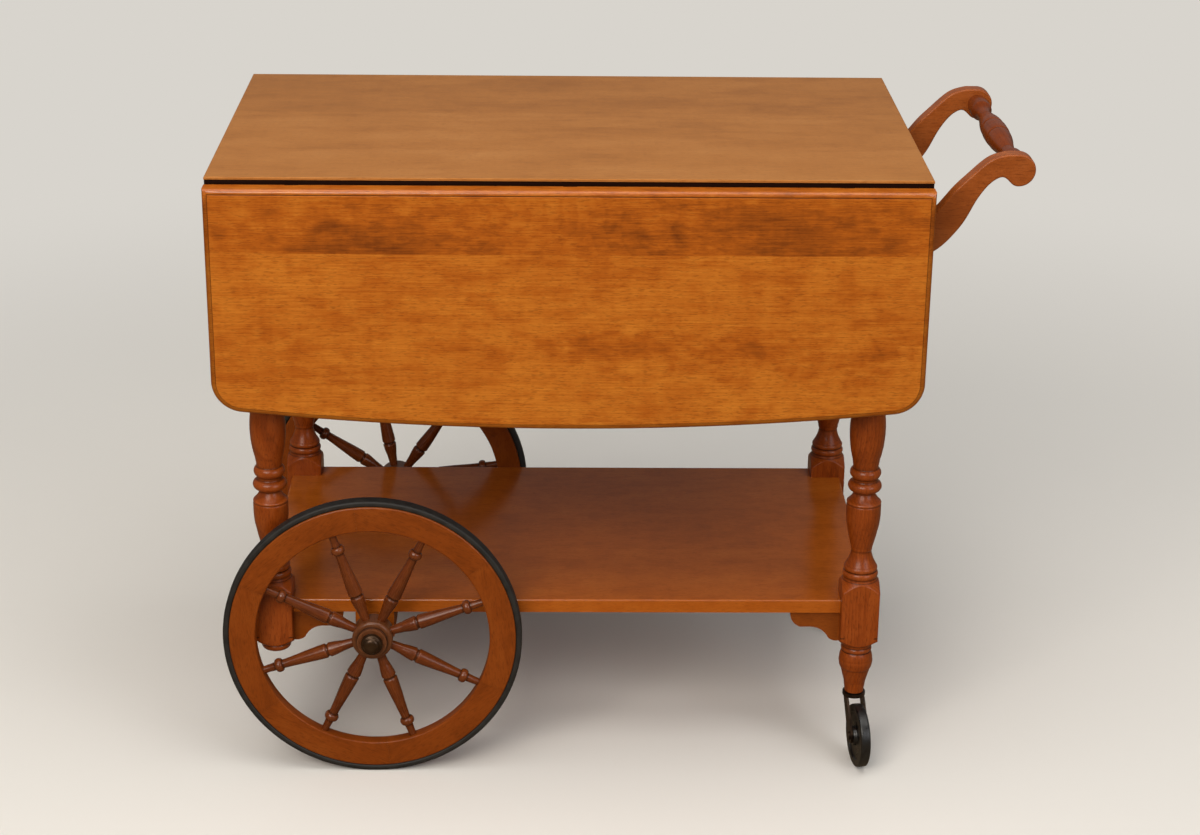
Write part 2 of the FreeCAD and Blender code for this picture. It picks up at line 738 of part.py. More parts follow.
def caster_fork():
    crown = rod(crown_radius, crown_thick, Vector(0, 0, crown_low), along_z)
    right = moved(caster_cheek(), cheek_in, 0, 0)
    left = moved(caster_cheek(), -cheek_in - cheek_thick, 0, 0)
    stem = rod(stem_radius, stem_length + crown_gap, Vector(0, 0, crown_top), along_z)
    return fuse(crown, right, left, stem)


def caster_pin():
    outer = cheek_in + cheek_thick
    axle = Vector(-outer, -caster_trail, caster_radius)
    pin = rod(caster_pin_radius, 2 * outer, axle, along_x)
    left = rod(caster_pin_head_radius, caster_pin_head, axle - along_x * caster_pin_head, along_x)
    right = rod(caster_pin_head_radius, caster_pin_head, axle + along_x * 2 * outer, along_x)
    return fuse(pin, left, right)


def caster_wheel():
    half = caster_tread / 2
    boss = caster_boss / 2
    web = half - caster_web_sink
    disc = turned([
        (-boss, caster_boss_radius, 0), (-web, caster_boss_radius, 0), (-web, caster_web_radius, 0),
        (-half, caster_web_radius, 0), (-half, caster_radius - caster_tread_round, 0),
        (-half + caster_tread_round, caster_radius, caster_tread_round * quarter_round_share),
        (half - caster_tread_round, caster_radius, 0),
        (half, caster_radius - caster_tread_round, caster_tread_round * quarter_round_share),
        (half, caster_web_radius, 0), (web, caster_web_radius, 0), (web, caster_boss_radius, 0),
        (boss, caster_boss_radius, 0),
    ])
    disc = disc.cut(rod(caster_pin_radius + running_gap, caster_boss, Vector(0, 0, -boss), along_z))
    disc.rotate(origin, along_y, 90)
    return moved(disc, 0, -caster_trail, caster_radius)


def caster_socket():
    radius = stem_radius + running_gap + socket_wall
    sleeve = rod(radius, stem_length + end_gap, Vector(0, 0, foot_bottom), along_z)
    flange_low = Vector(0, 0, foot_bottom - socket_flange)
    flange = rod(socket_flange_radius, socket_flange, flange_low, along_z)
    bore = rod(stem_radius + running_gap, stem_length + socket_flange, flange_low, along_z)
    return fuse(sleeve, flange).cut(bore)


def stand_caster(shape):
    copy = shape.copy()
    copy.rotate(origin, along_z, caster_turn)
    return moved(copy, leg_x, -leg_y, 0)


# Handle

arm_foot_x = apron_face_x
arm_upper_shares = [  # (run, rise) along the upper edge, from the foot to the top of the rolled end
    (0.207, 0.426), (0.37, 0.60), (0.50, 0.80), (0.60, 0.925), (0.71, 1.055), (0.80, 1.127), (0.89, 1.158),
]
arm_lower_shares = [  # (run, rise) along the lower edge, from under the rolled end back to the foot
    (0.92, 0.893), (0.873, 0.93), (0.815, 0.907), (0.729, 0.803), (0.657, 0.66), (0.591, 0.495), (0.50, 0.335),
    (0.368, 0.175), (0.207, 0.062),
]


def handle_arm():
    """Scrolled arm in the XZ plane: swan-necked from its foot, with a rolled end."""
    y = -arm_y - arm_thick / 2
    foot_low = Vector(arm_foot_x, y, arm_foot_bottom)
    foot_high = Vector(arm_foot_x, y, arm_foot_bottom + arm_foot)
    lobe_top = Vector(lobe_x, y, lobe_z + lobe_radius)
    lobe_side = Vector(lobe_x + lobe_radius, y, lobe_z)
    lobe_low = Vector(lobe_x, y, lobe_z - lobe_radius)

    def places(shares):
        return [Vector(arm_foot_x + a * arm_run, y, arm_foot_bottom + b * arm_rise) for a, b in shares]

    upper = Part.BSplineCurve()
    upper.interpolate(Points=[foot_high] + places(arm_upper_shares) + [lobe_top],
                      InitialTangent=along_x, FinalTangent=along_x)
    lower = Part.BSplineCurve()
    lower.interpolate(Points=[lobe_low] + places(arm_lower_shares) + [foot_low],
                      InitialTangent=-along_x, FinalTangent=-along_x)
    edges = [
        upper.toShape(), Part.Arc(lobe_top, lobe_side, lobe_low).toShape(),
        lower.toShape(), Part.makeLine(foot_low, foot_high),
    ]
    solid = Part.Face(Part.Wire(edges)).extrude(Vector(0, arm_thick, 0))
    outline = edges_at(solid, "Y", y) + edges_at(solid, "Y", y + arm_thick)
    long_edges = [edge for edge in outline if edge.BoundBox.XLength > edge_tolerance]
    return solid.makeFillet(arm_round, long_edges)


grip_shares = [  # (run, radius, bulge) of one half of the grip, from the arm to the middle
    (0.0, 0.84, 0.0), (0.04, 0.88, 0.0), (0.20, 0.90, 0.02), (0.25, 0.86, 0.02), (0.27, 0.78, 0.0),
    (0.36, 0.58, -0.04), (0.44, 0.54, 0.0), (0.62, 0.80, 0.02), (0.76, 0.97, 0.02), (0.84, 1.0, 0.01),
    (0.85, 0.93, 0.0), (0.865, 0.93, 0.0), (0.88, 1.02, 0.0), (1.0, 1.05, 0.02),
]


def handle_grip():
    half = arm_y - arm_thick / 2
    side = turned(scaled_stations(grip_shares, -half, half, grip_radius))
    tenon = rod(grip_tenon_radius, grip_tenon, Vector(0, 0, -half - grip_tenon), along_z)
    side = fuse(side, tenon)
    other = side.mirror(origin, along_z)
    grip = fuse(side, other)
    grip.rotate(origin, along_x, 90)
    return moved(grip, lobe_x, 0, lobe_z)


def arm_screws():
    x = apron_face_x - apron_thick
    length = apron_thick + arm_thick
    return [screw(length, fixing_screw_radius, fixing_head_radius, fixing_head,
                  Vector(x, side * arm_y, arm_foot_bottom + arm_foot * share), along_x)
            for side in (-1, 1) for share in arm_screw_shares]


# Assembly

nodes = {}

rear_hinge_plates_top = group([hinge_top_plate(x) for x in hinge_places])
rear_hinge_plates_leaf = group([hinge_leaf_plate(x) for x in hinge_places])
rear_pins = group([hinge_pin(x) for x in hinge_places])
rear_screws_top = group([s for x in hinge_places for s in hinge_screws_top(x)])
rear_screws_leaf = group([s for x in hinge_places for s in hinge_screws_leaf(x)])
notches = group([hinge_notch(x) for x in hinge_places])

rear_leaf = leaf_board().cut(notches).cut(rear_hinge_plates_leaf).cut(rear_screws_leaf)
rear_plates_top = rear_hinge_plates_top.cut(rear_pins).cut(rear_screws_top)
rear_plates_leaf = rear_hinge_plates_leaf.cut(rear_screws_leaf)

corner_screws = group([corner_screw(*corner) for corner in corners])
handle_screws = group(arm_screws())
beam_screw_half = beam_width / 4
beam_screw_y = beam_half_y - beam_screw_inset
beam_screws = group([beam_screw(y, wheel_x + s) for y in (-beam_screw_y, beam_screw_y)
                     for s in (-beam_screw_half, beam_screw_half)])

top = top_board().cut(corner_screws)
for hardware in (rear_hinge_plates_top, rear_screws_top):
    top = top.cut(hardware).cut(rear(hardware))
nodes["top_board"] = top

leaf_hardware = {
    "leaf": rear_leaf,
    "hinge_plates_on_top": rear_plates_top,
    "hinge_plates_on_leaf": rear_plates_leaf,
    "hinge_pins": rear_pins,
    "hinge_screws_in_top": rear_screws_top,
    "hinge_screws_in_leaf": rear_screws_leaf,
    "leaf_stays": group([leaf_stay(x) for x in stay_places]),
    "stay_brackets": group([stay_bracket(x) for x in stay_places]),
    "stay_pins": group([stay_pin(x) for x in stay_places]),
    "stay_strikers": group([striker_plate(x) for x in stay_places]),
    "long_apron": long_apron(),
}
for name, shape in leaf_hardware.items():
    nodes["rear_" + name] = shape
    nodes["front_" + name] = rear(shape)

nodes["handle_end_apron"] = end_apron(1).cut(handle_screws)
nodes["wheel_end_apron"] = end_apron(-1)
nodes["corner_blocks"] = group([corner_block(*corner).cut(corner_screws) for corner in corners])
nodes["corner_block_screws"] = corner_screws

for side_x, end in ((1, "handle_end"), (-1, "wheel_end")):
    for side_y, place in ((-1, "front"), (1, "rear")):
        nodes["%s_%s_leg" % (place, end)] = leg(side_x, side_y)

nodes["lower_shelf"] = lower_shelf().cut(beam_screws)
front_brackets = [scroll_bracket(side) for side in (-1, 1)]
nodes["scroll_brackets"] = group(front_brackets + [rear(shape) for shape in front_brackets])
nodes["axle_beam"] = axle_beam().cut(beam_screws)
nodes["axle_beam_screws"] = beam_screws
nodes["axle_rod"] = axle_rod()
nodes["axle_collars"] = group([axle_collar(), rear(axle_collar())])
nodes["axle_nuts"] = group([axle_nut(), rear(axle_nut())])

wheel_centre = Vector(wheel_x, 0, wheel_radius)
for name, shape in wheel_pieces().items():
    nodes["front_" + name] = shape
    rolled = rear(shape)
    rolled.rotate(wheel_centre, along_y, rear_wheel_turn)
    nodes["rear_" + name] = rolled

caster_pieces = {
    "caster_socket": caster_socket(),
    "caster_fork": caster_fork(),
    "caster_axle_pin": caster_pin(),
    "caster_wheel": caster_wheel(),
}
for name, shape in caster_pieces.items():
    nodes["front_" + name] = stand_caster(shape)
    nodes["rear_" + name] = moved(stand_caster(shape), 0, 2 * leg_y, 0)

grip = handle_grip()
arm = handle_arm()
nodes["handle_grip"] = grip
nodes["front_handle_arm"] = arm.cut(grip).cut(handle_screws)
nodes["rear_handle_arm"] = moved(arm, 0, 2 * arm_y, 0).cut(grip).cut(handle_screws)
nodes["handle_arm_screws"] = handle_screws

for name, shape in nodes.items():
    moved(shape, -frame_middle_x, 0, 0).exportStep("parts/%s.step" % name)
print("%d nodes" % len(nodes))
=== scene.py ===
import json
from functools import partial

import bpy
import numpy as np
from mathutils import Matrix, Vector


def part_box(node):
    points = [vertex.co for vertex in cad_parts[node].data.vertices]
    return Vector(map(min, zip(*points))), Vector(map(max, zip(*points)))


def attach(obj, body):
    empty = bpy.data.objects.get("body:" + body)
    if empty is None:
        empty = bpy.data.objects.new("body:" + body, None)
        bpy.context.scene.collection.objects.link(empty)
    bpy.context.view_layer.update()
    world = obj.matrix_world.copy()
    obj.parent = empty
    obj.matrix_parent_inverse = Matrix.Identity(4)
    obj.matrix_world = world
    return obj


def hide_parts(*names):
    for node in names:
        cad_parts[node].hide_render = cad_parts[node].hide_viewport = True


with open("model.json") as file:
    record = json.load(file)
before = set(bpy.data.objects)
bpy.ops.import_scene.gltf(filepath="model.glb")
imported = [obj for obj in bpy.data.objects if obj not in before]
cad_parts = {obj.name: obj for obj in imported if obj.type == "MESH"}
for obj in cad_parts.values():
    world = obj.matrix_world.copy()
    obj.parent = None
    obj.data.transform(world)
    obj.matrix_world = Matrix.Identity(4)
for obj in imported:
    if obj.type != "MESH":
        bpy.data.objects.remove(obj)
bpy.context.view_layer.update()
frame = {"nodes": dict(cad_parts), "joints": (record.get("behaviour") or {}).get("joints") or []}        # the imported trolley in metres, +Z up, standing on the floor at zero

nodes = frame["nodes"]
scene = bpy.context.scene
jointPlace = {joint["name"]: np.array(joint["pos_m"]) for joint in frame["joints"]}
mm = 0.001


def linear(hexText):
    # sRGB hex to linear red, green, blue and alpha
    share = np.array([int(hexText[i:i + 2], 16) for i in (0, 2, 4)]) / 255
    bent = np.where(share <= 0.04045, share / 12.92, ((share + 0.055) / 1.055) ** 2.4)
    return (*bent.tolist(), 1.0)


def addNode(tree, kind, inputs=(), stops=None, **settings):
    # one node: its settings, its sockets in order or by name (a value or a link) and, on a ramp, its stops
    node = tree.nodes.new("ShaderNode" + kind)
    for key, value in settings.items():
        setattr(node, key, value)
    sockets = inputs if isinstance(inputs, dict) else dict(enumerate(inputs))
    for key, value in sockets.items():
        if isinstance(value, bpy.types.NodeSocket):
            tree.links.new(value, node.inputs[key])
        else:
            node.inputs[key].default_value = value
    if stops:
        ramp = node.color_ramp
        for place, colour in stops[2:]:
            ramp.elements.new(place)
        for element, (place, colour) in zip(ramp.elements, sorted(stops)):
            element.position = place
            element.color = colour
    return node.outputs


def newMaterial(name):
    # an empty material and the function that adds nodes to it
    material = bpy.data.materials.new(name)
    material.use_nodes = True
    material.node_tree.nodes.clear()
    return material, partial(addNode, material.node_tree)


# Camera at the photograph's viewing angle
cameraView = dict(place=(-0.07635, -2.798, 1.456), focalPixels=2459, imageWidthPixels=1200, sensorMm=36,
                  pitch=0.3748, yaw=0.01996, roll=0.01117)


def addCamera(view):
    # forward, right and up from yaw and pitch, then right and up turned about forward by the roll
    pitch, yaw, roll = view["pitch"], view["yaw"], view["roll"]
    forward = np.array([np.sin(yaw) * np.cos(pitch), np.cos(yaw) * np.cos(pitch), -np.sin(pitch)])
    right = np.array([np.cos(yaw), -np.sin(yaw), 0])
    up = np.cross(right, forward)
    axes = np.eye(4)
    axes[:3, 0] = np.cos(roll) * right + np.sin(roll) * up
    axes[:3, 1] = np.cos(roll) * up - np.sin(roll) * right
    axes[:3, 2] = -forward
    axes[:3, 3] = view["place"]
    data = bpy.data.cameras.new("camera")
    data.sensor_fit = "HORIZONTAL"
    data.sensor_width = view["sensorMm"]
    data.lens = view["focalPixels"] / view["imageWidthPixels"] * view["sensorMm"]
    camera = bpy.data.objects.new("camera", data)
    camera.matrix_world = Matrix(axes)
    scene.collection.objects.link(camera)
    scene.camera = camera


addCamera(cameraView)
scene.view_settings.view_transform = "Standard"

# Soft studio light and a pale floor
studio = dict(
    worldColour="FFFDF9", worldStrength=0.17, floorHalf=14.0, floorSeen="F4F1EC", floorBounce="8E7C64",
    floorRoughness=0.75, floorSpecular=0.1, backdropColour="D8D4CD", backdropFromM=0.5, backdropToM=2.4,
    aim=(-0.05, 0.0, 0.42),
    panels=[
        dict(name="keyPanel", place=(-1.3, -3.1, 2.4), width=2.2, height=1.8, power=82, colour="FFF7EC"),
        dict(name="fillPanel", place=(2.4, -2.8, 1.8), width=1.8, height=1.8, power=30, colour="FBFBFF"),
        dict(name="overheadPanel", place=(0.0, -0.6, 3.0), width=3.2, height=2.4, power=52, colour="FFFCF6"),
        dict(name="backPanel", place=(-0.2, 3.4, 2.0), width=5.0, height=2.4, power=2, colour="FFFFFF"),
    ],
)


def addStudio(look):
    world = bpy.data.worlds.new("studioWorld")
    world.use_nodes = True
    # dim even light, seen by the camera as the pale backdrop
    tree = world.node_tree
    ray = addNode(tree, "LightPath")["Is Camera Ray"]
    mix = {0: ray, 6: linear(look["worldColour"]), 7: linear(look["backdropColour"])}
    tint = addNode(tree, "Mix", mix, data_type="RGBA")[2]
    level = addNode(tree, "MapRange", [ray, 0.0, 1.0, look["worldStrength"], 1.0])[0]
    back = tree.nodes["Background"]
    tree.links.new(tint, back.inputs["Color"])
    tree.links.new(level, back.inputs["Strength"])
    scene.world = world
    for panel in look["panels"]:
        data = bpy.data.lights.new(panel["name"], "AREA")
        data.shape = "RECTANGLE"
        data.size = panel["width"]
        data.size_y = panel["height"]
        data.energy = panel["power"]
        data.color = linear(panel["colour"])[:3]
        lamp = bpy.data.objects.new(panel["name"], data)
        lamp.location = panel["place"]
        lamp.rotation_euler = (Vector(look["aim"]) - lamp.location).to_track_quat("-Z", "Y").to_euler()
        lamp.visible_camera = False
        scene.collection.objects.link(lamp)
    half = look["floorHalf"]
    mesh = bpy.data.meshes.new("floor")
    corners = [(-half, -half, 0), (half, -half, 0), (half, half, 0), (-half, half, 0)]
    mesh.from_pydata(corners, [], [(0, 1, 2, 3)])
    floor = bpy.data.objects.new("floor", mesh)
    scene.collection.objects.link(floor)
    # matt paint that fades into an even backdrop with distance, both paler to the camera than to the object
    material, add = newMaterial("mattPaintedFloor")
    ray = add("LightPath")["Is Camera Ray"]
    mix = {0: ray, 6: linear(look["floorBounce"]), 7: linear(look["floorSeen"])}
    paint = add("Mix", mix, data_type="RGBA")[2]
    shader = add("BsdfPrincipled", {"Base Color": paint, "Roughness": look["floorRoughness"],
                                    "Specular IOR Level": look["floorSpecular"]})[0]
    even = add("Emission", {"Color": linear(look["backdropColour"])})[0]
    away = add("VectorMath", [add("TexCoord")["Object"]], operation="LENGTH")["Value"]
    fade = [away, look["backdropFromM"], look["backdropToM"]]
    fade = add("MapRange", fade, interpolation_type="SMOOTHSTEP")[0]
    fade = add("Math", [fade, ray], operation="MULTIPLY")[0]
    blend = add("MixShader", [fade, shader, even])[0]
    clear = add("BsdfTransparent")[0]      # from below the floor lets the underside be seen
    under = add("NewGeometry")["Backfacing"]
    blend = add("MixShader", [under, blend, clear])[0]
    add("OutputMaterial", {"Surface": blend})
    mesh.materials.append(material)


addStudio(studio)
print("camera, lights and floor are set")


# Noise clouds of the wood: mm along and across the grain, detail and roughness. Real fibres and pores are
# too fine to show here, so both are drawn coarser.
grainClouds = dict(
    sway=(190, 40, 2.0, 0.5), fibre=(48, 1.3, 3.0, 0.62), speckle=(26, 9, 3.0, 0.6),
    blotch=(38, 17, 4.0, 0.62), curl=(15, 46, 3.0, 0.6), stain=(150, 55, 2.0, 0.5),
    torn=(60, 24, 3.0, 0.5), pore=(7, 0.95, 1.0, 0.5),
)
# What all the wood shares; codeReachM is the metres that a ramp's 0 to 1 stands for, about its middle
grainForm = dict(
    codeReachM=2.0, ringStops=[(0.0, 0.9), (0.12, 1.0), (0.65, 0.6), (0.88, 0), (1.0, 0.9)], ringMean=0.65,
    ringFadeM=(0.035, 0.075), ringFarShare=0.25, blotchEdges=(0.62, 0.44), tornM=(0.12, 0.05, 0),
    means=dict(ring=0.0, fibre=0.5, curl=0.5, stain=0.5, blotch=0.6), speckleShare=1.6, patchEdges=(2.0, 0.9),
    deepAt=0.12, bodyAt=0.5, paleAt=0.86, poreEdges=(0.56, 0.67), glossSpread=(-0.05, 0.07), bump=0.25,
    bumpMm=0.08,
)


# Stained maple: sawn or turned wood, wiped with brown stain and glaze, under satin lacquer.
# The eye gets short dark pore dashes along the grain, faint growth rings, cloudy curl across the grain
# and a thin clear gloss; glaze stays dark in every crease and wears paler on the ridges.
def stainedMaple(name, look):
    material, add = newMaterial(name)
    form = grainForm

    # grain space in metres: x along the grain, y across the face, z into the wood
    if look["coords"] == "grain":
        grain = add("Attribute", attribute_name="grain")["Vector"]
    else:
        place = add("SeparateXYZ", [add("TexCoord")["Object"]])
        grain = add("CombineXYZ", [place["xyz".index(letter)] for letter in look["coords"]])[0]
    plain = add("SeparateXYZ", [grain])

    def cloud(kind):
        longMm, wideMm, detail, rough = grainClouds[kind]
        stretch = (1 / (longMm * mm), 1 / (wideMm * mm), 1 / (wideMm * mm))
        spot = add("VectorMath", [grain, stretch], operation="MULTIPLY")[0]
        return add("TexNoise", {"Vector": spot, "Scale": 1.0, "Detail": detail, "Roughness": rough})

    def shifted(kind, reach):
        # grain space pushed about by a cloud's three channels, up to half of reach each way
        push = add("VectorMath", [cloud(kind)["Color"], (0.5, 0.5, 0.5)], operation="SUBTRACT")[0]
        return add("VectorMath", [push, reach, grain], operation="MULTIPLY_ADD")[0]

    def edgeMask(edge):
        # one past the second of two heights and of two distances from the middle, none before the first
        tall = add("MapRange", [plain[2], *edge["heights"]])[0]
        far = add("Math", [plain[1]], operation="ABSOLUTE")[0]
        far = add("MapRange", [far, *edge["reaches"]])[0]
        return add("Math", [tall, far], operation="MULTIPLY")[0]

    # growth rings: in each strip, distance from two pith ovals mirrored about a middle, bent by slow noise
    sway = look["swayMm"] * mm
    swayed = add("SeparateXYZ", [shifted("sway", (2 * sway, sway, sway))])
    low, high = look["strips"][0][0], look["stripsEnd"]
    across = add("MapRange", [plain[1], low, high])[0]
    reach = form["codeReachM"]
    coded, tones = [], []
    for edge, pith, lean, middle, half, tone in look["strips"]:
        edge = (edge - low) / (high - low)
        coded.append((edge, (pith / reach + 0.5, lean, middle / reach + 0.5, half / reach)))
        tones.append((edge, (tone + 0.5,) * 3 + (1.0,)))
    if len(coded) == 1:
        coded.append((1.0, coded[0][1]))
        tones.append((1.0, tones[0][1]))
    codes, tone = (add("ValToRGB", [across], stops=stops) for stops in (coded, tones))
    for ramp in (codes, tone):
        ramp[0].node.color_ramp.interpolation = "CONSTANT"
    pith = [codes[0], (reach, 1.0, reach), (-reach / 2, 0, -reach / 2)]
    pith = add("VectorMath", pith, operation="MULTIPLY_ADD")[0]
    pith = add("SeparateXYZ", [pith])
    side = add("Math", [swayed[1], pith[0]], operation="SUBTRACT")[0]
    run = add("Math", [swayed[0], pith[2]], operation="SUBTRACT")[0]
    run = add("Math", [run], operation="ABSOLUTE")[0]
    run = add("Math", [codes[1], -reach, run], operation="MULTIPLY_ADD")[0]
    run = add("Math", [run, pith[1]], operation="MULTIPLY")[0]
    away = add("CombineXYZ", [side, run, swayed[2]])[0]
    away = add("VectorMath", [away], operation="LENGTH")["Value"]
    ring = add("Math", [away, look["ringMm"] * mm], operation="DIVIDE")[0]
    ring = add("Math", [ring], operation="FRACT")[0]
    stops = [(place, (level, level, level, 1.0)) for place, level in form["ringStops"]]
    ring = add("ValToRGB", [ring], stops=stops)[0]
    ring = add("Math", [ring, form["ringMean"]], operation="SUBTRACT")[0]
    fade = [away, *form["ringFadeM"], 1.0, form["ringFarShare"]]
    fade = add("MapRange", fade, interpolation_type="SMOOTHSTEP")[0]
    ring = add("Math", [ring, fade], operation="MULTIPLY")[0]

    # one shade value about 0.5 from rings, fibres, curl across the grain, stain clouds and sharper blotches
    fibre, speckle = cloud("fibre")[0], cloud("speckle")[0]
    blotch = [cloud("blotch")[0], *form["blotchEdges"]]
    blotch = add("MapRange", blotch, interpolation_type="SMOOTHSTEP")[0]
    sources = dict(ring=ring, fibre=fibre, curl=cloud("curl")[0], stain=cloud("stain")[0], blotch=blotch)
    mean = sum(look[kind] * form["means"][kind] for kind in sources)
    shade = add("Math", [tone[0], mean], operation="SUBTRACT")[0]
    for kind, source in sources.items():
        shade = add("Math", [source, look[kind], shade], operation="MULTIPLY_ADD")[0]
    torn = shifted("torn", form["tornM"])
    for x, y, long, wide, amount, (start, end) in look.get("patches", []):
        # soft oval with torn edges: distance from its middle in half sizes, broken up by speckle and ending
        # where its board is glued to the next
        ratio = add("VectorMath", [torn, (x, y, 0)], operation="SUBTRACT")[0]
        ratio = add("VectorMath", [ratio, (1 / long, 1 / wide, 0)], operation="MULTIPLY")[0]
        span = add("VectorMath", [ratio], operation="LENGTH")["Value"]
        span = add("Math", [speckle, form["speckleShare"], span], operation="MULTIPLY_ADD")[0]
        soft = add("MapRange", [span, *form["patchEdges"]], interpolation_type="SMOOTHSTEP")[0]
        board = [plain[1], (start + end) / 2, (end - start) / 2]
        board = add("Math", board, operation="COMPARE")[0]
        soft = add("Math", [soft, board], operation="MULTIPLY")[0]
        shade = add("Math", [soft, -amount, shade], operation="MULTIPLY_ADD")[0]
    stops = [(form[part + "At"], linear(look[part])) for part in ("deep", "body", "pale")]
    colour = add("ValToRGB", [shade], stops=stops)[0]

    # pore dashes, then paler worn ridges and dark glaze in the creases from the finish attribute, which on
    # the leaves also carries painted shade on the ends and lower edge
    pore = add("MapRange", [cloud("pore")[0], *form["poreEdges"]])[0]
    pore = add("Math", [pore, look["pore"]], operation="MULTIPLY")[0]
    finish = add("SeparateXYZ", [add("Attribute", attribute_name="finish")["Vector"]])
    worn = add("Math", [finish[1], look["wear"]], operation="MULTIPLY")[0]
    crease = add("Math", [finish[0], look["glaze"]], operation="MULTIPLY")[0]
    lacquer = add("Math", [finish[2], look["coat"]], operation="ADD")[0]
    stainsAndShade = [(pore, look["deep"]), (worn, look["pale"]), (crease, look["glazeColour"])]
    if "joint" in look:     # painted shade in the gap under the top's lip
        stainsAndShade.append((edgeMask(look["joint"]), look["joint"]["colour"]))
    for share, stain in stainsAndShade:
        colour = add("Mix", {0: share, 6: colour, 7: linear(stain)}, data_type="RGBA")[2]
    if "arris" in look:     # lacquer gathered on the rounded upper arris
        arris = [edgeMask(look["arris"]), look["arris"]["lacquer"], lacquer]
        lacquer = add("Math", arris, operation="MULTIPLY_ADD")[0]
    levels = [look["roughness"] + spread for spread in form["glossSpread"]]
    gloss = add("MapRange", [fibre, 0.0, 1.0, *levels])[0]
    height = add("Math", [fibre, pore], operation="SUBTRACT")[0]
    bump = {"Strength": form["bump"], "Distance": form["bumpMm"] * mm, "Height": height}
    shader = add("BsdfPrincipled", {
        "Base Color": colour, "Roughness": gloss, "Normal": add("Bump", bump)[0], "Coat Weight": lacquer,
        "Specular IOR Level": look["specular"], "Coat Roughness": look["coatRoughness"]})[0]
    add("OutputMaterial", {"Surface": shader})
    return material


# Glued strips: lower edge, pith, slope of its ovals, their middle and straight half length (m), tone.
# Patches: x, y, half length and half width (m), depth of tone, board.
oneStrip = [(-4.0, 0.018, 0.03, 0, 0, 0)]
mapleCommon = dict(strips=oneStrip, stripsEnd=4.0, swayMm=6, ringMm=3.2, ring=0.14, fibre=0.26, curl=0.14,
                   stain=0.26, blotch=0.06, pore=0.40, wear=0.30, glaze=0.90, glazeColour="1E0B04",
                   roughness=0.36, specular=0.20, coat=0.04, coatRoughness=0.16)

topBoard, thirdBoard, lowBoard = (0.6447, 0.80), (0.4932, 0.5587), (0.40, 0.4932)
leafMaple = dict(
    mapleCommon, coords="xzy", pale="D07E28", body="B25C15", deep="70350C", stripsEnd=0.72, swayMm=7,
    ringMm=3.0, ring=0.26, fibre=0.60, curl=0.26, stain=0.28, blotch=0.12, specular=0.16, coat=0.0,
    strips=[(0.43, 0.20, 0.02, 0, 0, 0.18),
            (0.4932, 0.524, 0.30, -0.247, 0.0, 0.14),
            (0.5587, 0.30, 0.02, 0, 0, 0.13),
            (0.6447, 0.688, 0.45, -0.040, 0.264, 0.01)],
    patches=[(-0.265, 0.650, 0.175, 0.055, 0.22, topBoard),
             (0.000, 0.662, 0.060, 0.044, 0.16, topBoard),
             (0.175, 0.660, 0.160, 0.060, 0.20, topBoard),
             (-0.170, 0.540, 0.046, 0.020, 0.15, thirdBoard),
             (-0.009, 0.538, 0.100, 0.024, 0.20, thirdBoard),
             (0.148, 0.536, 0.080, 0.024, 0.18, thirdBoard),
             (0.275, 0.528, 0.030, 0.022, 0.22, thirdBoard),
             (0.030, 0.463, 0.036, 0.020, 0.15, lowBoard),
             (0.130, 0.466, 0.022, 0.020, 0.15, lowBoard)],
)
topMaple = dict(
    mapleCommon, coords="xyz", pale="C08448", body="AE7034", deep="86501F", stripsEnd=0.25, ring=0.26,
    fibre=0.60, stain=0.46, blotch=0.05, roughness=0.30, specular=0.12, coat=0.0,
    # joint: near-black painted shade in the gap below the top's lip, above the hanging leaf
    joint=dict(heights=(0.7209, 0.7203), reaches=(0.2290, 0.2300), colour="22100A"),
    strips=[(-0.25, -0.60, 0.02, 0, 0, 0.02),
            (-0.12, -0.08, 0.06, -0.30, 0.0, 0),
            (0.045, 0.60, 0.02, 0, 0, -0.08)],
)
shelfMaple = dict(
    mapleCommon, coords="xyz", pale="CA7226", body="B05A18", deep="7A3A0E", stripsEnd=0.22, ring=0.12,
    curl=0.16, stain=0.30, blotch=0.08, pore=0.35, roughness=0.17, specular=0.16, coat=0.0,
    arris=dict(heights=(0.2028, 0.2034), reaches=(0.1986, 0.1992), lacquer=1.0),
    strips=[(-0.22, 0.60, 0.03, 0, 0, 0.02),
            (-0.06, -0.50, 0.03, 0, 0, -0.02),
            (0.09, 0.12, 0.06, 0.20, 0.0, 0.01)],
)
apronMaple = dict(mapleCommon, coords="xzy", pale="A85A1C", body="8C4511", deep="5C2A08")
turnedMaple = dict(mapleCommon, coords="grain", pale="B55C22", body="904010", deep="501E05", swayMm=9,
                   ring=0.12, stain=0.36, blotch=0.10, pore=0.42, roughness=0.30, specular=0.22, coat=0.08)
woods = dict(
    leafMaple=leafMaple, topMaple=topMaple, shelfMaple=shelfMaple, apronMaple=apronMaple,
    turnedMaple=turnedMaple, endApronMaple=dict(apronMaple, coords="yzx"),
    spokeMaple=dict(turnedMaple, pale="8E481C", body="68300F", deep="361404", roughness=0.26, coat=0.25),
    hubMaple=dict(turnedMaple, pale="84502E", body="62361B", deep="32170A", coat=0.2),
    gripMaple=dict(turnedMaple, pale="8E4218", body="783410", deep="4A1E07", fibre=0.14, pore=0.10,
                   specular=0.10, coat=0.25, coatRoughness=0.07),
    armMaple=dict(turnedMaple, coords="xzy", pale="BA6A34", body="9A4E1C", deep="602A0A"),
    felloeMaple=dict(turnedMaple, pale="A2551D", body="884010", deep="582606", ring=0.08, specular=0.16,
                     coat=0.02),
)
finishes = {name: stainedMaple(name, look) for name, look in woods.items()}


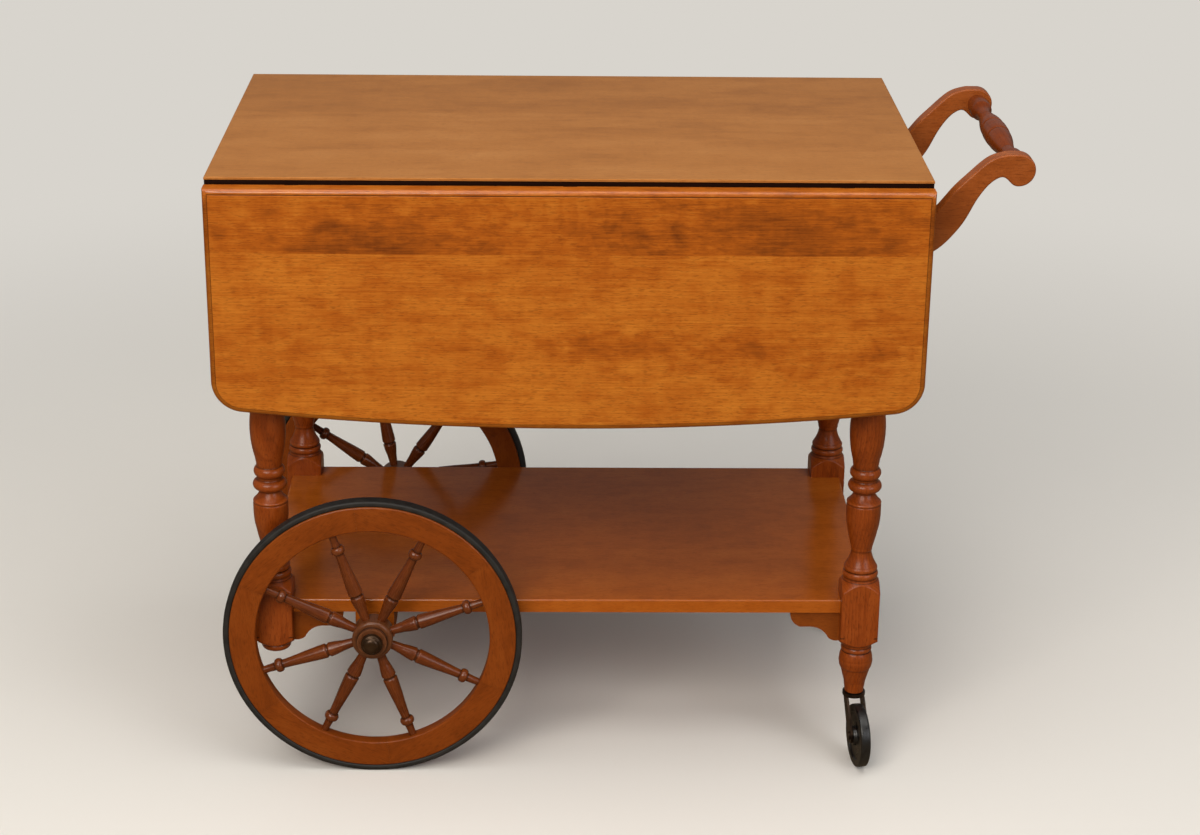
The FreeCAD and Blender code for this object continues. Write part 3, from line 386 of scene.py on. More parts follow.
def cloudedFinish(name, look):
    # a slow cloud varies colour and gloss, a fine one roughens the surface
    material, add = newMaterial(name)
    place = add("TexCoord")["Object"]
    clouds = []
    for kind in ("slow", "fine"):
        scale, detail = 1 / (look[kind + "Mm"] * mm), look[kind + "Detail"]
        clouds.append(add("TexNoise", {"Vector": place, "Scale": scale, "Detail": detail})[0])
    slow, fine = clouds
    stops = list(zip(look["tintAt"], (linear(look["dark"]), linear(look["light"]))))
    tint = add("ValToRGB", [slow], stops=stops)[0]
    levels = [look["roughness"] + spread for spread in look["glossSpread"]]
    gloss = add("MapRange", [slow, *look["glossAt"], *levels])[0]
    bump = {"Strength": look["bump"], "Distance": look["bumpMm"] * mm, "Height": fine}
    shader = add("BsdfPrincipled", {
        "Base Color": tint, "Metallic": look["metallic"], "Roughness": gloss, "Normal": add("Bump", bump)[0],
        "IOR": look["ior"]})[0]
    add("OutputMaterial", {"Surface": shader})
    return material


# Rolled, plated or bronzed metal: fine scratches, drawn coarser than real ones so that they show, and a
# cloudy film break the reflection up
metal = dict(slowDetail=4.0, fineDetail=2.0, tintAt=(0.35, 0.65), glossAt=(0.3, 0.7),
             glossSpread=(-0.08, 0.10), roughness=0.36, bump=0.2, bumpMm=0.03, ior=1.5)
# Moulded black rubber: matt with a grey bloom of dust in cloudy patches and a fine pebble
rubber = dict(slowDetail=5.0, fineDetail=2.0, tintAt=(0.38, 0.72), glossAt=(0.3, 0.7),
              glossSpread=(-0.06, 0.12), bump=0.35, bumpMm=0.06, ior=1.52, metallic=0.0)
clouded = dict(
    zincPlatedSteel=dict(metal, dark="8D8B85", light="B5B2AA", metallic=1.0, slowMm=6, fineMm=0.5),
    bronzedSteel=dict(metal, dark="2A211B", light="4A382B", metallic=0.80, slowMm=9, fineMm=0.8),
    brownedCap=dict(metal, dark="33200F", light="45301C", metallic=0.6, roughness=0.3, slowMm=16, fineMm=1.2),
    brassPlate=dict(metal, dark="9A7A40", light="B08C4A", metallic=1.0, slowMm=12, fineMm=0.8),
    tyreRubber=dict(rubber, dark="13110F", light="26231F", roughness=0.60, slowMm=9, fineMm=0.7),
    casterRubber=dict(rubber, dark="100F0E", light="1E1D1B", roughness=0.30, slowMm=7, fineMm=0.8),
)
finishes.update({name: cloudedFinish(name, look) for name, look in clouded.items()})
print("materials:", ", ".join(finishes))


# A solid is a dictionary of arrays: points, faces, and per point grain (m) and finish, which is crease
# glaze (on the leaves also painted shade on the ends and lower edge), wear and extra lacquer
def skinRings(rings, closed=False):
    # quads between neighbouring rings of a (rings, around, 3) grid; open ends get one flat face each
    count, around = rings.shape[:2]
    i = np.arange(count if closed else count - 1)[:, None]
    j = np.arange(around)[None, :]
    k, up = (j + 1) % around, (i + 1) % count
    quads = np.stack([i * around + j, i * around + k, up * around + k, up * around + j], -1)
    quads = quads.reshape(-1, 4).tolist()
    points = rings.reshape(-1, 3)
    if not closed:
        quads.append(np.arange(around)[::-1].tolist())
        quads.append(((count - 1) * around + np.arange(around)).tolist())
    return points, quads


def outwards(points, faces):
    # volume by signed tetrahedra on each face's fan of triangles; a negative one turns all faces round
    total = 0.0
    quads = np.array([face for face in faces if len(face) == 4])
    corner = points[quads] - points.mean(0)
    for a, b, c in ((0, 1, 2), (0, 2, 3)):
        total += np.einsum("ij,ij->i", corner[:, a], np.cross(corner[:, b], corner[:, c])).sum()
    for face in faces:
        if len(face) > 4:
            loop = points[face] - points.mean(0)
            total += np.einsum("ij,ij->i", np.broadcast_to(loop[0], loop[1:-1].shape),
                               np.cross(loop[1:-1], loop[2:])).sum()
    return faces if total > 0 else [face[::-1] for face in faces]


def makePiece(name, solids, finish, body, replaced, sharpDegrees=40):
    points = np.concatenate([solid["points"] for solid in solids])
    starts = np.cumsum([0] + [len(solid["points"]) for solid in solids])
    faces = []
    for start, solid in zip(starts, solids):
        turned = outwards(solid["points"], solid["faces"])
        faces += [[corner + int(start) for corner in face] for face in turned]
    mesh = bpy.data.meshes.new(name)
    mesh.from_pydata(points.tolist(), [], faces)
    for label in ("grain", "finish"):
        values = np.concatenate([solid[label] for solid in solids]).astype(np.float32)
        mesh.attributes.new(label, "FLOAT_VECTOR", "POINT").data.foreach_set("vector", values.ravel())
    mesh.polygons.foreach_set("use_smooth", np.ones(len(mesh.polygons), bool))
    mesh.set_sharp_from_angle(angle=np.radians(sharpDegrees))
    mesh.materials.append(finishes[finish])
    piece = bpy.data.objects.new(name, mesh)
    scene.collection.objects.link(piece)
    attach(piece, body)
    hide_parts(*replaced)
    return piece


def softened(curve, width):
    # Gaussian mean along a line of points, its ends held by turning the line over about each end point
    reach = max(1, int(np.ceil(3 * width)))
    weight = np.exp(-0.5 * (np.arange(-reach, reach + 1) / width) ** 2)
    weight /= weight.sum()
    head = 2 * curve[:1] - curve[reach:0:-1]
    tail = 2 * curve[-1:] - curve[-2:-reach - 2:-1]
    padded = np.concatenate([head, curve, tail])
    return np.column_stack([np.convolve(column, weight, "valid") for column in padded.T])


turning = dict(stepMm=0.6, softMm=0.32, creaseReachMm=1.6, creaseMm=0.55, wearMm=0.5, lacquerShare=0.5,
               around=72, arcPoints=25, leastRise=1e-8, leastLength=1e-7)


def turnedProfile(shares, start, run, radius):
    # (height, radius) line through stations given as shares of run and radius: straight runs and circular
    # arcs of the given rise, walked in even steps and softened as lacquer softens a corner
    table = np.array(shares)
    knots = np.column_stack([start + table[:, 0] * run, table[:, 1] * radius])
    rise = table[1:, 2] * radius
    rise = np.where(np.abs(rise) < turning["leastRise"], turning["leastRise"], rise)[:, None, None]
    chord = np.diff(knots, axis=0)
    length = np.maximum(np.hypot(*chord.T), turning["leastLength"])[:, None, None]
    along = chord[:, None, :] / length
    outward = np.stack([-along[..., 1], along[..., 0]], -1)
    half = 2 * np.arctan(2 * rise / length)
    bend = length / (2 * np.sin(half))
    turn = half * np.linspace(-1, 1, turning["arcPoints"])[None, :, None]
    middle = (knots[:-1] + knots[1:])[:, None, :] / 2
    arcs = middle + outward * (rise - bend) + bend * (outward * np.cos(turn) + along * np.sin(turn))
    line = arcs.reshape(-1, 2)
    walked = np.concatenate([[0], np.cumsum(np.hypot(*np.diff(line, axis=0).T))])
    steps = np.linspace(0, walked[-1], int(walked[-1] / (turning["stepMm"] * mm)) + 2)
    even = np.column_stack([np.interp(steps, walked, column) for column in line.T])
    return softened(even, turning["softMm"] / turning["stepMm"])


def creaseAndWear(radius):
    # a point lower than its neighbours' mean radius is a crease, a higher one a ridge
    mean = softened(radius[:, None], turning["creaseReachMm"] / turning["stepMm"])[:, 0]
    crease = np.clip((mean - radius) / (turning["creaseMm"] * mm), 0, 1)
    wear = np.clip((radius - mean) / (turning["wearMm"] * mm), 0, 1)
    return crease, wear


def turnedSolid(profile, origin, axis, side, grainShift, around=None):
    # ring at each height: origin + axis * height + radius * (side * cos + third * sin)
    around = around or turning["around"]
    axis, side, origin = (np.array(v, float) for v in (axis, side, origin))
    third = np.cross(axis, side)
    angle = np.arange(around) * 2 * np.pi / around
    height, radius = profile[:, :1], profile[:, 1:]
    tall = np.broadcast_to(height, (len(profile), around))
    local = np.stack([tall, radius * np.cos(angle), radius * np.sin(angle)], -1)
    rings = origin + local[..., :1] * axis + local[..., 1:2] * side + local[..., 2:] * third
    points, faces = skinRings(rings)
    crease, wear = creaseAndWear(profile[:, 1])
    finish = np.repeat(np.stack([crease, wear, turning["lacquerShare"] * wear], -1), around, 0)
    return dict(points=points, faces=faces, grain=local.reshape(-1, 3) + np.array(grainShift), finish=finish)


# Legs: square blocks with turned-away corners, between turned lengths
legForm = dict(
    around=128, blockStepMm=0.7, arrisPower=30, blockEndShare=0.92, shoulderMm=9, topShoulderMm=14,
    lowerBlock=(0.1485, 0.231), topBlockLow=0.560, scribe=0.161, scribeMm=1.2, scribeReachMm=5.5,
    blockCreaseMm=1.2, grainStepM=(0.37, 0.011, 0),
    upperShares=[
        (0.0, 0.92, 0), (0.009, 0.88, 0), (0.031, 0.87, 0.06), (0.033, 0.82, 0), (0.053, 0.81, 0.07),
        (0.056, 0.80, 0), (0.106, 0.53, -0.04), (0.110, 0.53, 0), (0.113, 0.56, 0), (0.125, 0.58, 0),
        (0.184, 0.776, 0.01), (0.253, 0.905, 0.03), (0.285, 0.905, 0), (0.289, 0.87, 0), (0.293, 0.90, 0),
        (0.298, 0.88, 0.01), (0.330, 0.55, -0.04), (0.337, 0.55, 0), (0.338, 0.70, 0), (0.374, 0.70, 0.18),
        (0.378, 0.66, 0), (0.387, 0.66, 0), (0.388, 0.68, 0), (0.424, 0.66, 0.14), (0.432, 0.66, 0),
        (0.458, 0.72, 0), (0.537, 0.908, 0.03), (0.616, 0.88, 0.03), (0.76, 0.70, 0.02), (0.9, 0.55, -0.02),
        (0.930, 0.60, -0.02), (0.930, 0.78, 0), (0.965, 0.78, 0.10), (0.972, 0.86, 0), (1.0, 0.86, 0)],
    bulbFootShares=[
        (0.0, 0.50, 0), (0.20, 0.575, 0), (0.48, 0.79, 0), (0.49, 0.82, 0), (0.57, 0.88, 0.01),
        (0.67, 0.88, 0.02), (0.81, 0.79, 0.025), (0.825, 0.74, 0), (0.83, 0.76, 0), (0.92, 0.76, 0.06),
        (0.93, 0.78, 0), (1.0, 0.84, 0)],
    buttonFootShares=[(0.0, 0.66, 0), (0.75, 0.74, 0.07), (1.0, 0.68, 0)],
)


def legSolid(lowest, highest, footShares, form, shift):
    # polar surface about the leg's axis: in a turned length the radius is the profile's; in a block it is the
    # lesser of a square with eased arrises (a high power norm) and a cone that turns its ends' corners away
    around = form["around"]
    half = (highest[0] - lowest[0]) / 2
    centre = np.array([(lowest[0] + highest[0]) / 2, (lowest[1] + highest[1]) / 2, 0])
    angle = np.arange(around) * 2 * np.pi / around
    power = form["arrisPower"]
    square = half / (np.abs(np.cos(angle)) ** power + np.abs(np.sin(angle)) ** power) ** (1 / power)
    fromCorner = half - square * np.minimum(np.abs(np.cos(angle)), np.abs(np.sin(angle)))
    shoulder, topShoulder = form["shoulderMm"] * mm, form["topShoulderMm"] * mm
    blockLow, blockHigh = form["lowerBlock"]

    def turnedPart(shares, start, end):
        profile = turnedProfile(shares, start, end - start, half)
        crease, wear = creaseAndWear(profile[:, 1])
        radius = np.repeat(profile[:, 1:], around, 1)
        return profile[:, 0], radius, np.repeat(crease[:, None], around, 1), wear

    def blockPart(start, end, openTop=False):
        z = np.linspace(start, end, int((end - start) / (form["blockStepMm"] * mm)))
        below, above = z - start, end - z + (1.0 if openTop else 0.0)      # an open top gets no shoulder
        inset = np.minimum(below, above)
        rise = np.minimum(below / shoulder, above / topShoulder)
        cone = half * (form["blockEndShare"] + (np.sqrt(2) - form["blockEndShare"]) * rise)
        radius = np.minimum(square[None, :], cone[:, None])
        crease = np.repeat(np.clip(1 - inset / (form["blockCreaseMm"] * mm), 0, 1)[:, None], around, 1)
        line = np.abs(z - form["scribe"]) < form["scribeMm"] * mm / 2
        crease += line[:, None] * (fromCorner < form["scribeReachMm"] * mm)[None, :]
        return z, radius, crease, np.zeros(len(z))

    parts = [
        turnedPart(footShares, lowest[2], blockLow), blockPart(blockLow, blockHigh),
        turnedPart(form["upperShares"], blockHigh, form["topBlockLow"]),
        blockPart(form["topBlockLow"], highest[2], openTop=True),
    ]
    z, radius, crease, wear = (np.concatenate(column) for column in zip(*parts))
    local = np.stack([np.repeat(z[:, None], around, 1), radius * np.cos(angle), radius * np.sin(angle)], -1)
    rings = centre + np.stack([local[..., 1], local[..., 2], local[..., 0]], -1)
    points, faces = skinRings(rings)
    wear = np.repeat(wear, around)
    finish = np.stack([crease.ravel(), wear, turning["lacquerShare"] * wear], -1)
    return dict(points=points, faces=faces, grain=local.reshape(-1, 3) + np.array(shift), finish=finish)


legEnds = [("front", "handle"), ("rear", "handle"), ("front", "wheel"), ("rear", "wheel")]
for number, (place, end) in enumerate(legEnds):
    node = "%s_%s_end_leg" % (place, end)
    foot = legForm["bulbFootShares"] if end == "handle" else legForm["buttonFootShares"]
    lowest, highest = np.array(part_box(node))
    solid = legSolid(lowest, highest, foot, legForm, number * np.array(legForm["grainStepM"]))
    name = "%s%sEndLeg" % (place, end.capitalize())
    makePiece(name, [solid], "turnedMaple", "frame", [node])
print("legs turned")

# Wheels: six felloes, rubber tyre, eight turned spokes and a hub, about the axle
wheelForm = dict(
    felloes=6, felloeStart=36, felloeSteps=40, felloeShiftM=(0.29, 0.013, 0.05), jointMm=0.05, rimRoundMm=2.0,
    endGlazeMm=0.8, endGlaze=0.12, rimWearMm=1.4, rimBandMm=2.2, rimLacquerShare=0.6, tyreRoundMm=2.5,
    tyreSlackMm=0.04, tyreAround=180, rolledDegrees=dict(front=0, rear=-9), spokeShiftM=(0.31, 0.017, 0.1),
    spokes=8, spokeStart=19, spokeAround=40, spokeRadiusMm=8.6, spokeTenonMm=6,
    spokeShares=[
        (0.0, 0.58, 0), (0.12, 0.72, 0), (0.22, 0.94, 0.01), (0.265, 0.99, 0), (0.275, 0.84, 0),
        (0.295, 0.84, 0), (0.305, 1.0, 0), (0.36, 0.97, 0), (0.58, 0.77, 0.01), (0.70, 0.65, 0),
        (0.785, 0.60, 0), (0.79, 0.80, 0), (0.86, 0.80, 0.17), (0.865, 0.58, 0), (0.93, 0.52, 0),
        (1.0, 0.50, 0)],
    rimWidthMm=30.6, hubRadiusMm=23.5, hubCollarRadiusMm=17.2, hubCollarMm=5, hubBoreMm=9, hubAround=96,
    hubShiftM=(0.7, 0.02, 0.01),
)


def roundedSection(low, high, radius, steps=7):
    # rectangle from low to high with quarter-round corners, walked once round
    quarter = np.linspace(0, np.pi / 2, steps)
    corners = []
    for x, y, start in ((1, 1, 0), (0, 1, 1), (0, 0, 2), (1, 0, 3)):
        middle = np.where([x, y], np.array(high) - radius, np.array(low) + radius)
        turn = quarter + start * np.pi / 2
        corners.append(middle + radius * np.column_stack([np.cos(turn), np.sin(turn)]))
    return np.concatenate(corners)


def sweptRing(section, angles, centre, closed):
    # (radius, offset along the axle) section carried round the axle, which runs along Y through centre
    radius, offset = section[None, :, 0], section[None, :, 1]
    turn = angles[:, None]
    rings = np.stack([centre[0] + radius * np.cos(turn), centre[1] + offset + 0 * turn,
                      centre[2] + radius * np.sin(turn)], -1)
    return skinRings(rings, closed)


def wheelSolids(place, form):
    sign = -1 if place == "front" else 1
    centre = jointPlace["%s_wheel_roll" % place]
    low, high = np.array(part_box("%s_wheel_felloes" % place))
    rimOuter = (high[0] - low[0]) / 2
    rimInner = rimOuter - form["rimWidthMm"] * mm
    halfThick = (high[1] - low[1]) / 2
    tyreLow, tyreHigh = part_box("%s_wheel_tyre" % place)
    tyreOuter = (tyreHigh[0] - tyreLow[0]) / 2 - form["tyreSlackMm"] * mm

    rimSection = roundedSection((rimInner, -halfThick), (rimOuter, halfThick), form["rimRoundMm"] * mm)
    step = 2 * np.pi / form["felloes"]
    rolled = np.radians(form["rolledDegrees"][place])
    felloes = []
    for index in range(form["felloes"]):
        start = np.radians(form["felloeStart"]) + rolled + index * step
        gap = form["jointMm"] * mm / (2 * rimOuter)
        angles = np.linspace(start + gap, start + step - gap, form["felloeSteps"])
        points, faces = sweptRing(rimSection, angles, centre, False)
        middle = start + step / 2
        local = points - centre
        along = local[:, 2] * np.cos(middle) - local[:, 0] * np.sin(middle)
        outward = local[:, 0] * np.cos(middle) + local[:, 2] * np.sin(middle)
        shift = index * np.array(form["felloeShiftM"]) * (1, sign, 1)
        grain = np.stack([along, outward, local[:, 1]], -1) + shift
        radius = np.hypot(local[:, 0], local[:, 2])
        end = np.abs(np.abs(np.arctan2(along, outward)) - step / 2) * radius
        crease = np.clip(1 - end / (form["endGlazeMm"] * mm), 0, 1) * form["endGlaze"]
        nearFace = np.abs(local[:, 1]) > halfThick - form["rimBandMm"] * mm
        wear = np.clip((radius - rimOuter) / (form["rimWearMm"] * mm) + 1, 0, 1) * nearFace
        finish = np.stack([crease, wear, form["rimLacquerShare"] * wear], -1)
        felloes.append(dict(points=points, faces=faces, grain=grain, finish=finish))

    tyreSection = roundedSection((rimOuter, -halfThick), (tyreOuter, halfThick), form["tyreRoundMm"] * mm)
    angles = np.arange(form["tyreAround"]) * 2 * np.pi / form["tyreAround"]
    points, faces = sweptRing(tyreSection, angles, centre, True)
    tyre = dict(points=points, faces=faces, grain=points - centre, finish=0 * points)

    hubRadius = form["hubRadiusMm"] * mm
    spokeRadius = form["spokeRadiusMm"] * mm
    profile = turnedProfile(form["spokeShares"], hubRadius, rimInner - hubRadius, spokeRadius)
    tenon = form["spokeTenonMm"] * mm
    profile = np.concatenate([profile[:1] - [[tenon, 0]], profile, profile[-1:] + [[tenon, 0]]])
    spokes = []
    for index in range(form["spokes"]):
        turn = np.radians(form["spokeStart"]) + rolled + index * 2 * np.pi / form["spokes"]
        axis = (np.cos(turn), 0, np.sin(turn))
        shift = np.array(form["spokeShiftM"]) * (index, index, 1)
        spokes.append(turnedSolid(profile, centre, axis, (0, 1, 0), shift, form["spokeAround"]))
    return felloes, tyre, spokes


def hubSolid(place, form):
    # stepped drum turned about the axle, a narrow collar on each face and a softened arris
    centre = jointPlace["%s_wheel_roll" % place]
    low, high = np.array(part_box("%s_wheel_hub" % place))
    collar = form["hubCollarMm"] * mm
    hubRadius, neck = form["hubRadiusMm"] * mm, form["hubCollarRadiusMm"] * mm
    inner = form["hubBoreMm"] * mm
    a, b = low[1] - centre[1], high[1] - centre[1]
    turn = form["rimRoundMm"] * mm
    line = [(a, inner), (a, neck), (a + collar, neck), (a + collar, hubRadius - turn),
            (a + collar + turn, hubRadius), (b - collar - turn, hubRadius), (b - collar, hubRadius - turn),
            (b - collar, neck), (b, neck), (b, inner)]
    profile = turnedProfile([(y, r, 0) for y, r in line], 0.0, 1.0, 1.0)
    return turnedSolid(profile, centre, (0, 1, 0), (1, 0, 0), form["hubShiftM"], form["hubAround"])


for place in ("front", "rear"):
    felloes, tyre, spokes = wheelSolids(place, wheelForm)
    node = place + "_wheel_"
    body = node + "body"
    makePiece(place + "WheelFelloes", felloes, "felloeMaple", body, [node + "felloes"])
    makePiece(place + "WheelTyre", [tyre], "tyreRubber", body, [node + "tyre"])
    makePiece(place + "WheelSpokes", spokes, "spokeMaple", body, [node + "spokes"])
    hub = hubSolid(place, wheelForm)
    makePiece(place + "WheelHub", [hub], "hubMaple", body, [node + "hub"])
print("wheels built")

# Domed nuts on the axle's ends
nutForm = dict(radiusMm=12.6, flangeMm=3.0, domeMm=7.5, around=72, startMm=251.5,
               shares=[(0.0, 0.5, 0), (0.0, 1.0, 0), (0.285, 1.0, 0), (0.30, 0.97, 0),
                       (0.678, 0.78, 0.10), (1.0, 0.2, 0.12)])


def nutSolid(sign, form):
    # flange and dome turned about the axle, away from the hub
    run = (form["flangeMm"] + form["domeMm"]) * mm
    centre = jointPlace["front_wheel_roll"] * (1, 0, 1) + (0, sign * form["startMm"] * mm, 0)
    profile = turnedProfile(form["shares"], 0.0, run, form["radiusMm"] * mm)
    return turnedSolid(profile, centre, (0, sign, 0), (1, 0, 0), (0, 0, 0), form["around"])


nuts = [nutSolid(sign, nutForm) for sign in (-1, 1)]
makePiece("axleNuts", nuts, "brownedCap", "frame", ["axle_nuts"])

# Casters: the wheel's tread, sunk web and boss
casterForm = dict(radiusMm=37.5, treadMm=12, treadRoundMm=2.0, webRadiusMm=29, webSinkMm=2.0, bossRadiusMm=11,
                  bossMm=16, boreShare=0.3, easeShare=0.3, turnDegrees=8, around=120)


def casterWheelSolid(place, form):
    # tread, web and boss turned about the caster's axle
    half, boss = form["treadMm"] * mm / 2, form["bossMm"] * mm / 2
    web = half - form["webSinkMm"] * mm
    outer, turn = form["radiusMm"] * mm, form["treadRoundMm"] * mm
    webRadius, bossRadius = form["webRadiusMm"] * mm, form["bossRadiusMm"] * mm
    bore, ease = bossRadius * form["boreShare"], turn * form["easeShare"]
    side = [(-boss, bore), (-boss, bossRadius), (-web, bossRadius + turn / 2), (-web, webRadius - turn / 2),
            (-half, webRadius), (-half, outer - turn), (-half + ease, outer - ease), (-half + turn, outer)]
    line = side + [(-y, r) for y, r in reversed(side)]
    profile = turnedProfile([(y, r, 0) for y, r in line], 0.0, 1.0, 1.0)
    lean = np.radians(form["turnDegrees"])
    axis = (np.cos(lean), np.sin(lean), 0)
    centre = jointPlace["%s_caster_roll" % place]
    return turnedSolid(profile, centre, axis, (0, 0, 1), (0, 0, 0), form["around"])


for place in ("front", "rear"):
    solid, node = casterWheelSolid(place, casterForm), place + "_caster_wheel"
    makePiece(place + "CasterWheel", [solid], "casterRubber", node + "_body", [node])
print("casters built")

# Handle grip, turned alike on both sides of its middle
gripForm = dict(
    radiusMm=14.0, around=72, grainShiftM=(1.3, 0.015, 0.02),
    shares=[
        (0.0, 0.84, 0), (0.04, 0.88, 0), (0.20, 0.90, 0.02), (0.25, 0.86, 0.02), (0.27, 0.78, 0),
        (0.36, 0.58, -0.04), (0.44, 0.54, 0), (0.62, 0.80, 0.02), (0.76, 0.97, 0.02), (0.84, 1.0, 0.01),
        (0.85, 0.93, 0), (0.865, 0.93, 0), (0.88, 1.02, 0), (1.0, 1.05, 0.02)],
)


def gripSolid(form):
    # one half's profile from the arm to the middle, and its mirror image
    low, high = np.array(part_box("handle_grip"))
    centre = (low + high) / 2
    run = centre[1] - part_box("front_handle_arm")[1][1]
    half = turnedProfile(form["shares"], -run, run, form["radiusMm"] * mm)
    profile = np.concatenate([half, half[-2::-1] * [-1, 1]])
    return turnedSolid(profile, centre, (0, 1, 0), (0, 0, 1), form["grainShiftM"], form["around"])


makePiece("handleGrip", [gripSolid(gripForm)], "gripMaple", "frame", ["handle_grip"])

# Leaves: bowed boards with a thumbnail edge
# lowerGlaze darkens the leaf's ends and lower edge as painted shade
leafForm = dict(bowMm=22, cornerMm=36, thumbWidthMm=6, thumbStepMm=1.2, thumbRoundMm=4.5, backRoundMm=0.8,
                backInMm=3.2, fieldRoundMm=0.4, stepInMm=(0.8, 0.3), fieldInMm=(1.5, 4), edgePoints=69,
                sidePoints=24, cornerPoints=22, bellyPoints=90, roundPoints=9, stepGlaze=(0.3, 1, 1, 1, 0.5),
                lowerGlaze=0.40, upperLacquer=0.8, hingeXMm=(-300, 0, 300), hingePlateMm=46, hingeFlapMm=35.6,
                plateDepthMm=2.0, slotMm=15.6, hingeDropMm=14, overMm=1)


def leafOutline(inset, low, high, form):
    # x, z loop of a hanging leaf drawn in by inset: straight top and sides, round corners, bowed lower side
    halfLength = (high[0] - low[0]) / 2
    bow = halfLength ** 2 / (2 * form["bowMm"] * mm) - inset
    half, top, corner = halfLength - inset, high[2] - inset, form["cornerMm"] * mm - inset
    centreZ = low[2] + inset + bow
    cornerX = half - corner
    cornerZ = centreZ - np.sqrt((bow - corner) ** 2 - cornerX ** 2)
    turn = np.arctan2(centreZ - cornerZ, cornerX)
    sweep = np.linspace(0, turn, form["cornerPoints"])
    arc = np.column_stack([cornerX + corner * np.cos(sweep), cornerZ - corner * np.sin(sweep)])
    swing = np.linspace(np.pi / 2 - turn, turn - np.pi / 2, form["bellyPoints"])[1:-1]
    belly = np.column_stack([bow * np.sin(swing), centreZ - bow * np.cos(swing)])
    down, across = form["sidePoints"], form["edgePoints"]
    side = np.column_stack([np.full(down, half), np.linspace(top, cornerZ, down + 1)[:-1]])
    edge = np.column_stack([np.linspace(-half, half, across + 1)[:-1], np.full(across, top)])
    mirror = np.array([-1, 1])
    loop = np.concatenate([edge, side, arc, belly, arc[::-1] * mirror, side[:0:-1] * mirror])
    return loop + [(low[0] + high[0]) / 2, 0]


def leafSolid(place, form):
    # outline rings from inner to outer face: eased back arris, side, quarter-round thumbnail, step, field
    low, high = np.array(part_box(place + "_leaf"))
    thick = high[1] - low[1]
    step = thick - form["thumbStepMm"] * mm
    thumb, width = form["thumbRoundMm"] * mm, form["thumbWidthMm"] * mm
    back, field = form["backRoundMm"] * mm, form["fieldRoundMm"] * mm
    bend = np.linspace(0, np.pi / 2, form["roundPoints"])
    section = [(form["backInMm"] * mm, 0)]
    section += [(back * (1 - np.sin(a)), back * (1 - np.cos(a))) for a in bend]
    edge = len(section)
    section += [(0.0, step / 3), (0.0, 2 * step / 3)]
    nail = len(section) + 1
    section += [(thumb * (1 - np.cos(a)), step - thumb * (1 - np.sin(a))) for a in bend]
    crease = len(section)
    section += [(width - inMm * mm, step) for inMm in form["stepInMm"]]
    section += [(width, step), (width, thick - field)]
    section += [(width + field * (1 - np.cos(a)), thick - field * (1 - np.sin(a))) for a in bend[1::3]]
    section += [(width + inMm * mm, thick) for inMm in form["fieldInMm"]]
    sign = -1 if place == "front" else 1
    innerY = high[1] if place == "front" else low[1]
    rings = np.array([np.insert(leafOutline(inset, low, high, form), 1, innerY + sign * depth, axis=1)
                      for inset, depth in section])
    dark = np.zeros(rings.shape[:2])
    dark[crease:crease + len(form["stepGlaze"])] = np.array(form["stepGlaze"])[:, None]
    lower = rings[..., 2] < high[2] - 2 * width     # the ends and lower edge, where painted shade darkens the side and the thumbnail
    dark[edge:crease] += form["lowerGlaze"] * lower[edge:crease]
    gloss = np.zeros(rings.shape[:2])
    gloss[nail:crease] = form["upperLacquer"] * ~lower[nail:crease]
    points, faces = skinRings(rings)
    finish = np.stack([dark.ravel(), 0 * dark.ravel(), gloss.ravel()], -1)
    return dict(points=points, faces=faces, grain=points, finish=finish), low, high, innerY, sign


def pocketSolid(x, innerY, top, sign, form):
    # T-shaped prism, its stem open at the leaf's upper edge, its bar the seat of the hinge plate
    over = form["overMm"] * mm
    stem, bar = form["slotMm"] * mm / 2, form["hingePlateMm"] * mm / 2
    shoulder = top - form["hingeDropMm"] * mm
    foot = shoulder - form["hingeFlapMm"] * mm
    outline = np.array([(-stem, top + over), (-stem, shoulder), (-bar, shoulder), (-bar, foot), (bar, foot),
                        (bar, shoulder), (stem, shoulder), (stem, top + over)])
    depths = innerY + sign * np.array([-over, form["plateDepthMm"] * mm])
    rings = np.array([np.insert(outline + [x, 0], 1, y, axis=1) for y in depths])
    points, faces = skinRings(rings)
    return points, outwards(points, faces)


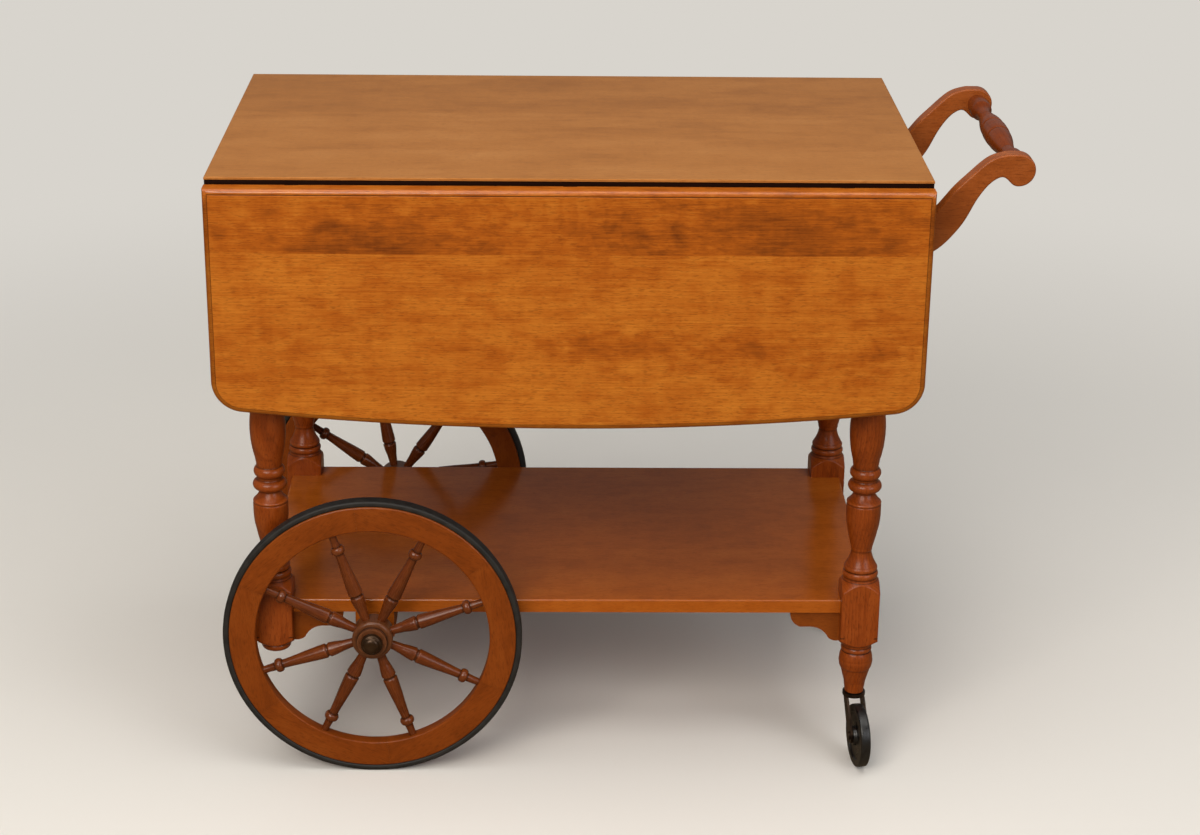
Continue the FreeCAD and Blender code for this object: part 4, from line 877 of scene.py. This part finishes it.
def cutAway(piece, boxes, spotMm=0.01):
    # takes boxes out of a piece with one applied boolean
    points = np.concatenate([p for p, f in boxes])
    faces = []
    for start, (p, f) in zip(np.cumsum([0] + [len(p) for p, f in boxes]).tolist(), boxes):
        faces += [[corner + start for corner in face] for face in f]
    mesh = bpy.data.meshes.new("cutter")
    mesh.from_pydata(points.tolist(), [], faces)
    cutter = bpy.data.objects.new("cutter", mesh)
    scene.collection.objects.link(cutter)
    cut = piece.modifiers.new("pockets", "BOOLEAN")
    cut.operation = "DIFFERENCE"
    cut.solver = "EXACT"
    cut.object = cutter
    shaped = bpy.data.meshes.new_from_object(piece.evaluated_get(bpy.context.evaluated_depsgraph_get()))
    piece.modifiers.clear()
    old = piece.data
    # the cut empties the attributes, so points that kept their place take their values again
    spots = []
    for grid in (old, shaped):
        spot = np.zeros(3 * len(grid.vertices), np.float32)
        grid.vertices.foreach_get("co", spot)
        spots.append(spot.reshape(-1, 3))
    rounded = np.round(np.concatenate(spots) / (spotMm * mm)).astype(int)
    spotIds = np.unique(rounded, axis=0, return_inverse=True)[1].ravel()
    for label in ("grain", "finish"):
        values = np.zeros(3 * len(old.vertices), np.float32)
        old.attributes[label].data.foreach_get("vector", values)
        table = np.zeros((spotIds.max() + 1, 3), np.float32)
        table[spotIds[:len(old.vertices)]] = values.reshape(-1, 3)
        shaped.attributes[label].data.foreach_set("vector", table[spotIds[len(old.vertices):]].ravel())
    piece.data = shaped
    bpy.data.meshes.remove(old)
    bpy.data.objects.remove(cutter)
    bpy.data.meshes.remove(mesh)


for place in ("front", "rear"):
    solid, low, high, innerY, sign = leafSolid(place, leafForm)
    node = place + "_leaf"
    leaf = makePiece(place + "Leaf", [solid], "leafMaple", node + "_body", [node])
    middle = (low[0] + high[0]) / 2
    pockets = [pocketSolid(middle + x * mm, innerY, high[2], sign, leafForm) for x in leafForm["hingeXMm"]]
    cutAway(leaf, pockets)
print("leaves shaped")

# Nodes whose solids are right keep them and take a finish
plainNodes = {
    "topMaple": ["top_board"],
    "shelfMaple": ["lower_shelf", "axle_beam"],
    "apronMaple": ["front_long_apron", "rear_long_apron", "scroll_brackets", "corner_blocks"],
    "endApronMaple": ["handle_end_apron", "wheel_end_apron"],
    "armMaple": ["front_handle_arm", "rear_handle_arm"],
    "zincPlatedSteel": ["corner_block_screws", "axle_beam_screws", "axle_rod", "axle_collars",
                        "handle_arm_screws"],
}
pairedNodes = {
    "zincPlatedSteel": ["hinge_pins", "hinge_screws_in_top", "hinge_screws_in_leaf", "leaf_stays",
                        "stay_brackets", "stay_pins", "stay_strikers"],
    "brassPlate": ["hinge_plates_on_top", "hinge_plates_on_leaf", "wheel_bush"],
    "bronzedSteel": ["caster_socket", "caster_fork", "caster_axle_pin"],
}
for finish, parts in pairedNodes.items():
    names = [place + "_" + part for place in ("front", "rear") for part in parts]
    plainNodes[finish] = plainNodes.get(finish, []) + names
for finish, names in plainNodes.items():
    for name in names:
        mesh = nodes[name].data
        mesh.materials.clear()
        mesh.materials.append(finishes[finish])
print("finishes put on the plain nodes")
